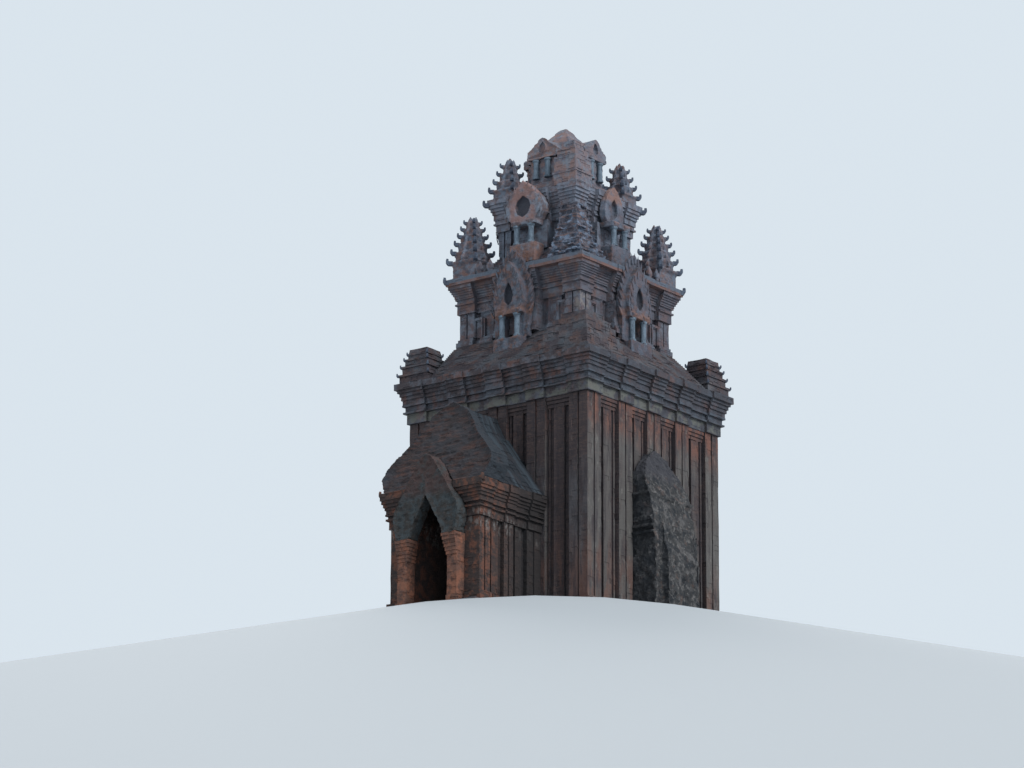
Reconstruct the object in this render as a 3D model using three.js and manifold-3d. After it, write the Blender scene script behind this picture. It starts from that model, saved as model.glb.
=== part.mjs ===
// A ruined brick temple tower, in millimetres, +Z up.
// The origin is on the tower's axis at ground level. The porch looks to -Y (front) and the face with the
// false door that shows best looks to +X (right).
import * as THREE from 'three';
import { mergeVertices } from 'three/addons/utils/BufferGeometryUtils.js';
import Module from 'manifold-3d';

const wasm = await Module();
wasm.setup();

// Driving dimensions of the tower
const BODY_HALF = 6000;
const FLOOR_Z = 300;
const BODY_TOP_Z = 12240;
const MAIN_COVE_TOP_Z = 14120;
const MAIN_SLAB_TOP_Z = 14480;
const SECOND_FLOOR_Z = 16700;
const SECOND_HALF = 4100;
const SECOND_TOP_Z = 18550;
const SECOND_COVE_TOP_Z = 20160;
const SECOND_SLAB_TOP_Z = 20540;
const THIRD_FLOOR_Z = 21800;
const THIRD_HALF = 2600;
const THIRD_TOP_Z = 23400;
const THIRD_SLAB_TOP_Z = 25270;
const FOURTH_HALF = 1450;
const FOURTH_TOP_Z = 27400;
const PEAK_Z = 29600;

// Driving dimensions of the porch and its entrance
const PORCH_HALF = 2945;
const PORCH_FRONT_Y = -11200;
const PORCH_TOP_Z = 4880;
const PORCH_SLAB_TOP_Z = 6820;
const PORCH_RIDGE_Z = 11600;
const PORCH_ROOM_HALF = 1500;
const PILLAR_FRONT_Y = -11850;
const PILLAR_OUTER = 1960;
const DOORWAY_HALF = 1320;
const CAPITAL_BASE_Z = 2850;
const ENTRANCE_SPRING_Z = 4000;
const ENTRANCE_APEX_Z = 6150;
const ARCH_FRONT_Y = -12100;

// Driving dimensions of what is hollow: the square room, the shaft over it and the passage into it
const CELLA_HALF = 2500;
const MAIN_SHAFT_HALF = 1900;
const ROOF_SHAFT_HALF = 1600;
const SECOND_SHAFT_HALF = 1400;
const SECOND_CORNICE_SHAFT_HALF = 1200;
const THIRD_SHAFT_HALF = 900;
const PASSAGE_HALF = 950;
const PASSAGE_SPRING_Z = 3700;
const PASSAGE_APEX_Z = 5400;

// A fitted piece stands JOINT_GAP off the masonry beside it, and a cut runs CUT_OVER past what it cuts
const JOINT_GAP = 0.3;
const CUT_OVER = 10;

// Flat stretches of a storey's face, from its middle to its corner: where each ends and how deep it lies
const RECESS = 320;
const STRIP_DEPTH = 170;
const BODY_BAYS = [
  [610, 0], [960, RECESS], [1600, STRIP_DEPTH], [1980, RECESS],
  [3200, 0], [3660, RECESS], [4360, STRIP_DEPTH], [4780, RECESS], [BODY_HALF, 0],
];
const MAIN_CORNICE_BAYS = [[610, 0], [1980, 160], [3200, 0], [4780, 160], [BODY_HALF, 0]];
const MAIN_SLAB_BAYS = [[610, 0], [1980, 120], [3200, 0], [4780, 120], [BODY_HALF, 0]];
const SECOND_BAYS = [[1450, -350], [1850, 300], [2750, 150], [3100, 300], [SECOND_HALF, 0]];
const SECOND_CORNICE_BAYS = [[1450, -60], [3000, 300], [SECOND_HALF, 0]];
const SECOND_SLAB_BAYS = [[1450, -60], [SECOND_HALF, 0]];
const THIRD_BAYS = [[1050, -400], [1750, 200], [THIRD_HALF, 0]];
const THIRD_CORNICE_BAYS = [[1050, -60], [1750, 200], [THIRD_HALF, 0]];

const brick = { color: 0x8e4b37, roughness: 0.92, metalness: 0 };
const darkBrick = { color: 0x6b4238, roughness: 0.95, metalness: 0 };
const lichenBrick = { color: 0x7c6a5c, roughness: 0.97, metalness: 0 };

const temple = new THREE.Group();

// A closed geometry as a solid that can be cut and joined
function solid(geometry) {
  const bare = geometry.clone();
  bare.deleteAttribute('normal');
  bare.deleteAttribute('uv');
  const merged = mergeVertices(bare, 0.01);
  const corners = merged.index.array;
  const triVerts = [];
  for (let i = 0; i < corners.length; i += 3) {
    const [a, b, c] = corners.slice(i, i + 3);
    if (a !== b && b !== c && c !== a) triVerts.push(a, b, c);
  }
  return new wasm.Manifold(new wasm.Mesh({
    numProp: 3,
    vertProperties: merged.attributes.position.array,
    triVerts: Uint32Array.from(triVerts),
  }));
}

function geometryOf(shape) {
  const mesh = shape.getMesh();
  const geometry = new THREE.BufferGeometry();
  geometry.setAttribute('position', new THREE.BufferAttribute(mesh.vertProperties, 3));
  geometry.setIndex(new THREE.BufferAttribute(mesh.triVerts, 1));
  geometry.computeVertexNormals();
  return geometry;
}

function addNode(name, shape, finish, parent = temple) {
  const mesh = new THREE.Mesh(geometryOf(shape), new THREE.MeshStandardMaterial(finish));
  mesh.name = name;
  parent.add(mesh);
}

function joined(shapes) {
  return shapes.reduce((whole, shape) => whole.add(shape));
}

// A box between two corners
function block([x0, x1], [y0, y1], [z0, z1]) {
  const box = new THREE.BoxGeometry(x1 - x0, y1 - y0, z1 - z0);
  return solid(box.translate((x0 + x1) / 2, (y0 + y1) / 2, (z0 + z1) / 2));
}

function squareBlock(half, z0, z1) {
  return block([-half, half], [-half, half], [z0, z1]);
}

// A square shaft through a storey, cut a little past its ends
function shaft(half, z0, z1) {
  return squareBlock(half, z0 - CUT_OVER, z1 + CUT_OVER);
}

// A plan of [x, y] points, raised from z0 to z1
function course(plan, z0, z1) {
  const shape = new THREE.Shape(plan.map(([x, y]) => new THREE.Vector2(x, y)));
  const slab = new THREE.ExtrudeGeometry(shape, { depth: z1 - z0, bevelEnabled: false });
  return solid(slab.translate(0, 0, z0));
}

// An upright outline of [x, z] points, thickened from yBack to yFront (yFront is the smaller)
function panel(outline, yFront, yBack) {
  const shape = new THREE.Shape(outline.map(([x, z]) => new THREE.Vector2(x, z)));
  const slab = new THREE.ExtrudeGeometry(shape, { depth: yBack - yFront, bevelEnabled: false });
  return solid(slab.rotateX(Math.PI / 2).translate(0, yBack, 0));
}

// The right half of an upright outline, from bottom to top, with its mirror image
function mirrored(halfOutline) {
  const left = halfOutline.filter(([x]) => x > 0).map(([x, z]) => [-x, z]).reverse();
  return [...halfOutline, ...left];
}

// A square, stepped or tapering form: profile is [half, z] from bottom to top, on the axis at both ends
function squareTurned(profile) {
  const points = profile.map(([half, z]) => new THREE.Vector2(half * Math.SQRT2, z));
  const form = new THREE.LatheGeometry(points, 4, Math.PI / 4);
  return solid(form.rotateX(Math.PI / 2));
}

// A square form that climbs in equal steps from one half-width to the next
function squareSteps(fromHalf, toHalf, fromZ, toZ, count) {
  const profile = [[0, fromZ]];
  for (let i = 0; i < count; i += 1) {
    const half = fromHalf + (toHalf - fromHalf) * (i / (count - 1));
    profile.push([half, fromZ + (toZ - fromZ) * (i / count)]);
    profile.push([half, fromZ + (toZ - fromZ) * ((i + 1) / count)]);
  }
  profile.push([0, toZ]);
  return squareTurned(profile);
}

// Plan of a square storey whose faces break forward and back, grown by an overhang
function storeyPlan(bays, grow = 0) {
  const half = bays[bays.length - 1][0];
  const right = [];
  let start = 0;
  bays.forEach(([end, depth], i) => {
    const edge = i < bays.length - 1 ? end : half + grow;
    const face = -(half + grow - depth);
    if (i > 0) right.push([start, face]);
    right.push([edge, face]);
    start = edge;
  });
  const left = right.map(([x, y]) => [-x, y]).reverse();
  const face = [...left, ...right].slice(0, -1);
  const plan = [];
  for (let turn = 0; turn < 4; turn += 1) {
    const cos = [1, 0, -1, 0][turn];
    const sin = [0, 1, 0, -1][turn];
    for (const [x, y] of face) plan.push([x * cos - y * sin, x * sin + y * cos]);
  }
  return plan;
}

// Courses stacked on each other: each is [top z, overhang], and planOf gives the plan for an overhang
function stacked(planOf, baseZ, courses) {
  let z = baseZ;
  return joined(courses.map(([top, grow]) => {
    const layer = course(planOf(grow), z, top);
    z = top;
    return layer;
  }));
}

function storeyCourses(bays, baseZ, courses) {
  return stacked((grow) => storeyPlan(bays, grow), baseZ, courses);
}

// Blocks over one corner of the tower, on the front right: each is [top z, inner edge, outer edge]
function cornerHeap(baseZ, blocks) {
  let z = baseZ;
  return joined(blocks.map(([top, inner, outer]) => {
    const layer = block([inner, outer], [-outer, -inner], [z, top]);
    z = top;
    return layer;
  }));
}

// Quarter turns that take a piece of the front face to each of the four faces
const FACES = { front: 0, right: 1, back: 2, left: 3 };

function onFace(turn) {
  const group = new THREE.Group();
  group.rotation.z = turn * Math.PI / 2;
  temple.add(group);
  return group;
}

// The three corners that keep their turrets, as signs of x and y
const TURRET_CORNERS = { back_left: [-1, 1], back_right: [1, 1], front_left: [-1, -1] };

// Ground floor of the tower: thick walls round a square cella
const BASE_COURSES = [[620, 420], [900, 300], [1180, 120]];
const BASE_TOP_Z = BASE_COURSES[BASE_COURSES.length - 1][0];
const bodyMass = storeyCourses(BODY_BAYS, FLOOR_Z, [...BASE_COURSES, [BODY_TOP_Z, 0]]);
const REACH = BODY_HALF + 600;
const UPRIGHT = [0, BODY_TOP_Z];

// Behind the porch the front wall is filled out flush, so that the porch bonds into it
const PORCH_FOOT = [[620, 250], [900, 150]];
const porchSeat = block([-PORCH_HALF, PORCH_HALF], [-BODY_HALF, -BODY_HALF + RECESS + CUT_OVER],
  [FLOOR_Z, PORCH_SLAB_TOP_Z]);
const porchFootReach = PORCH_HALF + PORCH_FOOT[0][1] + JOINT_GAP;
const frontMass = bodyMass.add(porchSeat)
  .subtract(block([-porchFootReach, porchFootReach], [-REACH, -BODY_HALF], [0, PORCH_SLAB_TOP_Z]));

// The passage's head closes in four corbelled steps
const passageHead = [
  [PASSAGE_HALF, PASSAGE_SPRING_Z - 1000], [PASSAGE_HALF, PASSAGE_SPRING_Z],
  [700, 4100], [700, 4150], [450, 4550], [450, 4600], [220, 5000], [220, 5050], [90, PASSAGE_APEX_Z],
];

// The walls' foot mouldings stop where a false door stands
const FALSE_DOOR_HALF = 1950;
const FALSE_DOOR_PROJECTION = 1700;
const FALSE_DOOR_FOOT = FALSE_DOOR_HALF + 150;
const footSeat = FALSE_DOOR_FOOT + JOINT_GAP;
const footSeats = joined([
  block([-REACH, REACH], [-footSeat, footSeat], [0, BASE_TOP_Z]),
  block([-footSeat, footSeat], [0, REACH], [0, BASE_TOP_Z]),
]).subtract(course(storeyPlan(BODY_BAYS), 0, BASE_TOP_Z));
const sideMass = bodyMass.subtract(footSeats);

const acrossCella = [-CELLA_HALF, CELLA_HALF];
const frontDepth = [-REACH, -CELLA_HALF];
addNode('wall_back', sideMass.intersect(block([-REACH, REACH], [CELLA_HALF, REACH], UPRIGHT)), brick);
addNode('wall_right', sideMass.intersect(block([CELLA_HALF, REACH], acrossCella, UPRIGHT)), brick);
addNode('wall_left', sideMass.intersect(block([-REACH, -CELLA_HALF], acrossCella, UPRIGHT)), brick);
addNode('wall_front_left', frontMass.intersect(block([-REACH, -PASSAGE_HALF], frontDepth, UPRIGHT)), brick);
addNode('wall_front_right', frontMass.intersect(block([PASSAGE_HALF, REACH], frontDepth, UPRIGHT)), brick);
addNode('wall_over_doorway',
  frontMass
    .intersect(block([-PASSAGE_HALF, PASSAGE_HALF], frontDepth, [PASSAGE_SPRING_Z, BODY_TOP_Z]))
    .subtract(panel(mirrored(passageHead), -REACH, 0)),
  brick);

// Floor and foot of the whole building
const PLINTH_REACH = 520;
const footSquare = BODY_HALF + PLINTH_REACH;
const footPorch = PORCH_HALF + PLINTH_REACH;
const footDoor = FALSE_DOOR_HALF + 300;
const footDoorReach = BODY_HALF + FALSE_DOOR_PROJECTION + 350;
const onGround = [0, FLOOR_Z];
addNode('plinth', joined([
  squareBlock(footSquare, 0, FLOOR_Z),
  block([-footPorch, footPorch], [ARCH_FRONT_Y - 100, 0], onGround),
  block([-footDoorReach, footDoorReach], [-footDoor, footDoor], onGround),
  block([-footDoor, footDoor], [0, footDoorReach], onGround),
]), darkBrick);

// Main cornice: capital band, two thin fins, coving and a heavy slab
const mainCornice = storeyCourses(MAIN_CORNICE_BAYS, BODY_TOP_Z, [
  [12800, 120], [12910, 280], [13200, 180], [13310, 310], [13560, 290], [13760, 360], [13960, 430],
  [MAIN_COVE_TOP_Z, 520],
]).add(storeyCourses(MAIN_SLAB_BAYS, MAIN_COVE_TOP_Z, [[MAIN_SLAB_TOP_Z, 640]]));
addNode('main_cornice', mainCornice.subtract(shaft(MAIN_SHAFT_HALF, BODY_TOP_Z, MAIN_SLAB_TOP_Z)), brick);

// First roof: plain stepped courses up to the second storey
const FIRST_ROOF_STEPS = 18;
const firstRoofMass = squareSteps(6350, 4250, MAIN_SLAB_TOP_Z, SECOND_FLOOR_Z, FIRST_ROOF_STEPS);
let firstRoof = firstRoofMass.subtract(shaft(ROOF_SHAFT_HALF, MAIN_SLAB_TOP_Z, SECOND_FLOOR_Z));

// Broken corner turrets on the main slab: square blocks whose courses step outward as they go down
const BROKEN_TURRET_CENTRE = 5440;
const brokenTurret = squareTurned([
  [0, MAIN_SLAB_TOP_Z], [1000, MAIN_SLAB_TOP_Z], [1000, 14870], [1080, 14870], [1080, 15000],
  [880, 15000], [880, 15360], [950, 15360], [950, 15480], [770, 15480], [770, 15790], [820, 15790],
  [820, 15900], [660, 15900], [660, 16120], [700, 16120], [700, 16220], [640, 16220], [600, 16480],
  [0, 16640],
]);
const brokenTurretRoom = squareBlock(1110, MAIN_SLAB_TOP_Z - CUT_OVER, SECOND_FLOOR_Z + 200);
for (const [place, [sx, sy]] of Object.entries(TURRET_CORNERS)) {
  const at = [sx * BROKEN_TURRET_CENTRE, sy * BROKEN_TURRET_CENTRE, 0];
  firstRoof = firstRoof.subtract(brokenTurretRoom.translate(at));
  addNode('broken_turret_' + place, brokenTurret.translate(at), darkBrick);
}

// Second storey and its cornice, whose coving carries a straight slab
const secondMass = storeyCourses(SECOND_BAYS, SECOND_FLOOR_Z, [[16950, 150], [17120, 70], [SECOND_TOP_Z, 0]]);
let secondStorey = secondMass.subtract(shaft(SECOND_SHAFT_HALF, SECOND_FLOOR_Z, SECOND_TOP_Z));
let secondCornice = storeyCourses(SECOND_CORNICE_BAYS, SECOND_TOP_Z, [
  [19060, 110], [19170, 200], [19360, 120], [19460, 200], [19600, 230], [19720, 290], [19840, 350],
  [19960, 410], [SECOND_COVE_TOP_Z, 480],
])
  .add(storeyCourses(SECOND_SLAB_BAYS, SECOND_COVE_TOP_Z, [[SECOND_SLAB_TOP_Z, 570]]))
  .subtract(shaft(SECOND_CORNICE_SHAFT_HALF, SECOND_TOP_Z, SECOND_SLAB_TOP_Z));

// On the front right corner the turret has come down to a heap of courses, which starts on a step of the roof
const HEAP_BASE_Z = MAIN_SLAB_TOP_Z + (SECOND_FLOOR_Z - MAIN_SLAB_TOP_Z) * (4 / FIRST_ROOF_STEPS);
const fallenTurret = cornerHeap(HEAP_BASE_Z, [
  [15360, 2700, 5950], [15800, 2900, 5850], [16220, 3100, 5740], [16550, 3400, 5650], [16850, 3900, 5560],
]).subtract(firstRoofMass).subtract(secondMass);
addNode('broken_turret_front_right', fallenTurret, darkBrick);

// Third storey on its stepped base, with a solid cornice that closes the shaft
const thirdMass = squareSteps(3900, 2850, SECOND_SLAB_TOP_Z, THIRD_FLOOR_Z, 8)
  .add(storeyCourses(THIRD_BAYS, THIRD_FLOOR_Z, [[THIRD_TOP_Z, 0]]));
let thirdStorey = thirdMass.subtract(shaft(THIRD_SHAFT_HALF, SECOND_SLAB_TOP_Z, THIRD_TOP_Z));
const thirdCorniceMass = storeyCourses(THIRD_CORNICE_BAYS, THIRD_TOP_Z, [
  [23800, 110], [23900, 220], [24080, 150], [24170, 210], [24400, 210], [24560, 270], [24740, 340],
  [24930, 420], [THIRD_SLAB_TOP_Z, 480],
]);
let thirdCornice = thirdCorniceMass;

function colonnette(x, y, radius, z0, z1) {
  const post = new THREE.CylinderGeometry(radius, radius, z1 - z0, 8);
  return solid(post.rotateX(Math.PI / 2).translate(x, y, (z0 + z1) / 2));
}

// A niche of the upper storeys: a pedestal, two colonnettes under a lintel, and a pointed arch round an
// almond-shaped recess, with or without a taller surround behind it. It stands against the middle bay.
function niche({ front, porticoFront, archFront, back, sill, columns, radius, lintel, arch, recess,
  surround, surroundFront, doorHalf }) {
  const parts = [
    block([-sill.half, sill.half], [front, back], [sill.z0, sill.z1]),
    block([-lintel.half, lintel.half], [porticoFront, back], [lintel.z0, lintel.z1]),
    panel(mirrored(arch), archFront, back),
  ];
  if (surround) {
    const doorway = block([-doorHalf, doorHalf], [surroundFront - CUT_OVER, back + CUT_OVER],
      [sill.z1, lintel.z0]);
    parts.push(panel(mirrored(surround), surroundFront, back).subtract(doorway));
  }
  const foot = radius * 1.35;
  const columnY = porticoFront + foot + CUT_OVER;
  for (const x of [-columns, columns]) {
    parts.push(colonnette(x, columnY, radius, sill.z1 - CUT_OVER, lintel.z0 + CUT_OVER));
    for (const [z0, z1] of [[sill.z1 - CUT_OVER, sill.z1 + 120], [lintel.z0 - 130, lintel.z0 + CUT_OVER]]) {
      parts.push(block([x - foot, x + foot], [columnY - foot, columnY + foot], [z0, z1]));
    }
  }
  return joined(parts).subtract(panel(mirrored(recess), archFront - CUT_OVER, archFront + 300));
}

// What the masonry behind leaves free for a niche
function nicheSeat({ front, back, sill, lintel, arch, surround = arch }) {
  const [[footHalf, footZ], ...above] = surround;
  const outline = [
    [footHalf + JOINT_GAP, Math.min(footZ, lintel.z0) - JOINT_GAP],
    ...above.map(([x, z]) => [x > 0 ? x + JOINT_GAP : 0, z + JOINT_GAP]),
  ];
  const half = sill.half + JOINT_GAP;
  const clear = [front - 1000, back + JOINT_GAP];
  return block([-half, half], clear, [sill.z0 - JOINT_GAP, lintel.z1]).add(panel(mirrored(outline), ...clear));
}

const SECOND_NICHE = {
  front: -5230,
  porticoFront: -5130,
  archFront: -5130,
  surroundFront: -4760,
  back: -(SECOND_HALF + 350),
  sill: { half: 950, z0: 15590 + JOINT_GAP, z1: 16330 },
  columns: 505,
  radius: 125,
  doorHalf: 380,
  lintel: { half: 900, z0: 17670, z1: 17950 },
  arch: [[930, 17940], [1030, 18250], [1010, 18750], [890, 19300], [680, 19800], [400, 20250],
    [160, 20550], [0, 20700]],
  recess: [[0, 18150], [240, 18380], [310, 18700], [210, 19100], [0, 19480]],
  surround: [[1150, 16330], [1150, 17650], [1300, 18050], [1330, 18700], [1230, 19350], [1010, 20050],
    [720, 20680], [390, 21130], [0, 21400]],
};
const THIRD_NICHE = {
  front: -3890,
  porticoFront: -3880,
  archFront: -3880,
  back: -(THIRD_HALF + 400),
  sill: { half: 880, z0: 20855 + JOINT_GAP, z1: 22000 },
  columns: 490,
  radius: 120,
  lintel: { half: 820, z0: 23080, z1: 23400 },
  arch: [[900, 23390], [1150, 23750], [1160, 24250], [940, 24700], [600, 25100], [250, 25400], [0, 25620]],
  recess: [[0, 23500], [380, 23720], [520, 24080], [400, 24440], [0, 24730]],
};
// On the right face the third storey's arch has lost its outer rim
const WORN_NICHE = {
  ...THIRD_NICHE,
  archFront: -3420,
  arch: [[640, 23390], [840, 23650], [880, 24100], [810, 24550], [630, 24980], [380, 25300], [0, 25560]],
  recess: [[0, 23700], [240, 23950], [290, 24250], [190, 24600], [0, 24850]],
};
for (const [face, turn] of Object.entries(FACES)) {
  const thirdNiche = face === 'right' ? WORN_NICHE : THIRD_NICHE;
  addNode('second_niche_' + face, niche(SECOND_NICHE), brick, onFace(turn));
  addNode('third_niche_' + face, niche(thirdNiche), brick, onFace(turn));
  const secondSeat = nicheSeat(SECOND_NICHE).rotate([0, 0, 90 * turn]);
  const thirdSeat = nicheSeat(thirdNiche).rotate([0, 0, 90 * turn]);
  firstRoof = firstRoof.subtract(secondSeat);
  secondStorey = secondStorey.subtract(secondSeat);
  secondCornice = secondCornice.subtract(secondSeat);
  thirdStorey = thirdStorey.subtract(thirdSeat).subtract(secondSeat);
  thirdCornice = thirdCornice.subtract(thirdSeat);
}

// A square form whose lips curl up at their corners: profile is [half, z, lift of the corners]
function curledTurned(profile) {
  const points = profile.map(([half, z]) => new THREE.Vector2(half * Math.SQRT2, z));
  const form = new THREE.LatheGeometry(points, 8, Math.PI / 4);
  const place = form.attributes.position;
  for (let i = 0; i < place.count; i += 1) {
    const middleOfSide = Math.floor(i / profile.length) % 2 === 1;
    const [, , lift = 0] = profile[i % profile.length];
    if (middleOfSide) {
      place.setXYZ(i, place.getX(i) * Math.SQRT1_2, place.getY(i), place.getZ(i) * Math.SQRT1_2);
    } else {
      place.setY(i, place.getY(i) + lift);
    }
  }
  return solid(form.rotateX(Math.PI / 2));
}

// Spiky corner turrets: tiers that shrink upward, each with a lip that curls up at its corners
const CURL = 190;
const SECOND_TURRET = {
  centre: 3620,
  baseHalf: 830,
  baseZ: SECOND_SLAB_TOP_Z,
  peakZ: 24330,
  tiers: [
    { neck: 800, neckZ: 21250, lip: 1010, lipZ: 21640 },
    { neck: 700, neckZ: 21760, lip: 850, lipZ: 22280 },
    { neck: 600, neckZ: 22350, lip: 710, lipZ: 22790 },
    { neck: 490, neckZ: 22860, lip: 590, lipZ: 23230 },
    { neck: 390, neckZ: 23290, lip: 470, lipZ: 23660 },
    { neck: 290, neckZ: 23720, lip: 350, lipZ: 24040 },
  ],
};
const THIRD_TURRET = {
  centre: 2170,
  baseHalf: 690,
  baseZ: THIRD_SLAB_TOP_Z,
  peakZ: 27930,
  tiers: [
    { neck: 670, neckZ: 25560, lip: 840, lipZ: 25950 },
    { neck: 540, neckZ: 26040, lip: 660, lipZ: 26500 },
    { neck: 400, neckZ: 26580, lip: 520, lipZ: 27040 },
    { neck: 290, neckZ: 27120, lip: 390, lipZ: 27560 },
  ],
};
function turret({ baseHalf, baseZ, peakZ, tiers }) {
  const profile = [[0, baseZ], [baseHalf, baseZ]];
  for (const { neck, neckZ, lip, lipZ } of tiers) {
    profile.push([neck, neckZ], [lip - 50, lipZ - 160, CURL / 2], [lip, lipZ - 60, CURL]);
  }
  const last = tiers[tiers.length - 1];
  profile.push([last.lip * 0.55, last.lipZ], [0, peakZ]);
  return curledTurned(profile);
}

// Room for a turret in the masonry beside it: narrow round its foot, wider past its lowest lip
function turretRoom({ baseHalf, baseZ, tiers: [{ neckZ, lip, lipZ }] }) {
  return squareBlock(baseHalf + JOINT_GAP, baseZ - CUT_OVER, neckZ)
    .add(squareBlock(lip + 60, neckZ - CUT_OVER, lipZ + 400));
}

// Fourth storey: a small cross-shaped block, with a bay on each face
const FOURTH_BAY_HALF = 850;
function fourthCourse(bayHalf, bayFront, z0, z1) {
  return course(storeyPlan([[bayHalf, FOURTH_HALF - bayFront], [FOURTH_HALF, 0]]), z0, z1);
}
let fourthStorey = joined([
  squareSteps(2250, 1750, THIRD_SLAB_TOP_Z, 25900, 3),
  fourthCourse(920, 2370, THIRD_SLAB_TOP_Z, 25500),
  fourthCourse(900, 2280, 25500, 25900),
  fourthCourse(FOURTH_BAY_HALF, 2000, 25900, FOURTH_TOP_Z),
]);

// Its roof: a gable over each bay, and the blunt crown
const GABLE_FRONT = -2150;
const GABLE_FOOT_Z = FOURTH_TOP_Z + 200;
const gable = joined([
  block([-1000, 1000], [GABLE_FRONT, -FOURTH_HALF], [FOURTH_TOP_Z, GABLE_FOOT_Z]),
  panel(mirrored([[980, GABLE_FOOT_Z - CUT_OVER], [1050, 27870], [760, 28060], [450, 28290], [220, 28540],
    [0, 28640]]), GABLE_FRONT, -1100),
]).subtract(panel(mirrored([[0, 27660], [250, 27850], [180, 28120], [0, 28330]]), GABLE_FRONT - CUT_OVER,
  GABLE_FRONT + 200));
let fourthRoof = squareBlock(FOURTH_HALF + 60, FOURTH_TOP_Z, 28200).add(squareTurned([
  [0, 28190], [1150, 28190], [1080, 28500], [850, 28850], [500, 29220], [330, 29450], [180, PEAK_Z],
  [0, PEAK_Z],
]));
for (const turn of Object.values(FACES)) fourthRoof = fourthRoof.add(gable.rotate([0, 0, 90 * turn]));

for (const [place, [sx, sy]] of Object.entries(TURRET_CORNERS)) {
  const second = [sx * SECOND_TURRET.centre, sy * SECOND_TURRET.centre, 0];
  const third = [sx * THIRD_TURRET.centre, sy * THIRD_TURRET.centre, 0];
  addNode('second_turret_' + place, turret(SECOND_TURRET).translate(second), darkBrick);
  addNode('third_turret_' + place, turret(THIRD_TURRET).translate(third), darkBrick);
  thirdStorey = thirdStorey.subtract(turretRoom(SECOND_TURRET).translate(second));
  fourthStorey = fourthStorey.subtract(turretRoom(THIRD_TURRET).translate(third));
}

// The front right turret of the fourth storey has lost its spire
const brokenSpire = squareTurned([
  [0, THIRD_SLAB_TOP_Z], [760, THIRD_SLAB_TOP_Z], [760, 25900], [800, 25900], [800, 26010], [730, 26010],
  [730, 26900], [620, 26900], [620, 27300], [470, 27300], [430, 27800], [0, 27900],
]).translate([THIRD_TURRET.centre, -THIRD_TURRET.centre, 0]);
const brokenSpireRoom = squareBlock(800 + JOINT_GAP, THIRD_SLAB_TOP_Z - CUT_OVER, 28000)
  .translate([THIRD_TURRET.centre, -THIRD_TURRET.centre, 0]);
fourthStorey = fourthStorey.subtract(brokenSpireRoom);
fourthRoof = fourthRoof.subtract(brokenSpireRoom);
addNode('broken_turret_fourth', brokenSpire, darkBrick);

// Below it, worn courses are heaped against the third storey's corner
const wornCorner = cornerHeap(SECOND_SLAB_TOP_Z, [
  [20950, 1950, 4280], [21300, 1950, 4120], [21700, 1950, 3930], [22050, 1950, 3760], [22500, 1950, 3560],
  [22900, 1950, 3400], [23300, 1950, 3240], [23700, 1950, 3120], [24080, 1950, 3020],
]).subtract(thirdMass).subtract(thirdCorniceMass);
addNode('worn_corner', wornCorner, lichenBrick);

addNode('first_roof', firstRoof, darkBrick);
addNode('second_storey', secondStorey, brick);
addNode('second_cornice', secondCornice, brick);
addNode('third_storey', thirdStorey, brick);
addNode('third_cornice', thirdCornice, brick);
addNode('fourth_storey', fourthStorey, brick);
addNode('fourth_roof', fourthRoof, brick);

// False doors: stepped jambs under three leaning tiers of a lance-shaped arch
const DOOR_BACK = -(BODY_HALF - RECESS + 1);
const JAMB_FRONT = -7300;
const JAMB_TOP_Z = 6100;
const DOOR_FRONT = -(BODY_HALF + FALSE_DOOR_PROJECTION);
const DOOR_HALF = 1350;
function blockAbout(half, yFront, z0, z1) {
  return block([-half, half], [yFront, DOOR_BACK], [z0, z1]);
}
const falseDoor = joined([
  blockAbout(FALSE_DOOR_FOOT, JAMB_FRONT - 140, FLOOR_Z, 620),
  blockAbout(FALSE_DOOR_HALF + 80, JAMB_FRONT - 80, 610, 900),
  blockAbout(FALSE_DOOR_HALF, JAMB_FRONT, 890, JAMB_TOP_Z),
  blockAbout(FALSE_DOOR_HALF + 80, JAMB_FRONT - 80, 5450, 5560),
  blockAbout(FALSE_DOOR_HALF + 110, JAMB_FRONT - 120, 5800, JAMB_TOP_Z),
  blockAbout(DOOR_HALF, DOOR_FRONT, FLOOR_Z, 5360),
  blockAbout(DOOR_HALF + 80, DOOR_FRONT - 80, 5350, 5560),
  panel(mirrored([[1950, 6090], [1900, 7000], [1730, 8000], [1420, 8800], [1000, 9500], [450, 10000],
    [0, 10250]]), -6520, DOOR_BACK),
  panel(mirrored([[1700, 6090], [1560, 7000], [1280, 7900], [850, 8800], [380, 9350], [0, 9600]]),
    -6950, DOOR_BACK),
  panel(mirrored([[DOOR_HALF, 5550], [1300, 6300], [1080, 7200], [700, 8000], [300, 8500], [0, 8720]]),
    JAMB_FRONT - 80, DOOR_BACK),
]).subtract(course(storeyPlan(BODY_BAYS, JOINT_GAP), 0, BODY_TOP_Z));
for (const face of ['back', 'left']) addNode('false_door_' + face, falseDoor, lichenBrick, onFace(FACES[face]));

// An upright outline of [y, z] points, drawn out to both sides of the middle
function profiled(outline, half) {
  const shape = new THREE.Shape(outline.map(([y, z]) => new THREE.Vector2(y, z)));
  const slab = new THREE.ExtrudeGeometry(shape, { depth: 2 * half, bevelEnabled: false });
  const onSide = new THREE.Matrix4().makeBasis(
    new THREE.Vector3(0, 1, 0), new THREE.Vector3(0, 0, 1), new THREE.Vector3(1, 0, 0),
  );
  return solid(slab.applyMatrix4(onSide).translate(-half, 0, 0));
}

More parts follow.
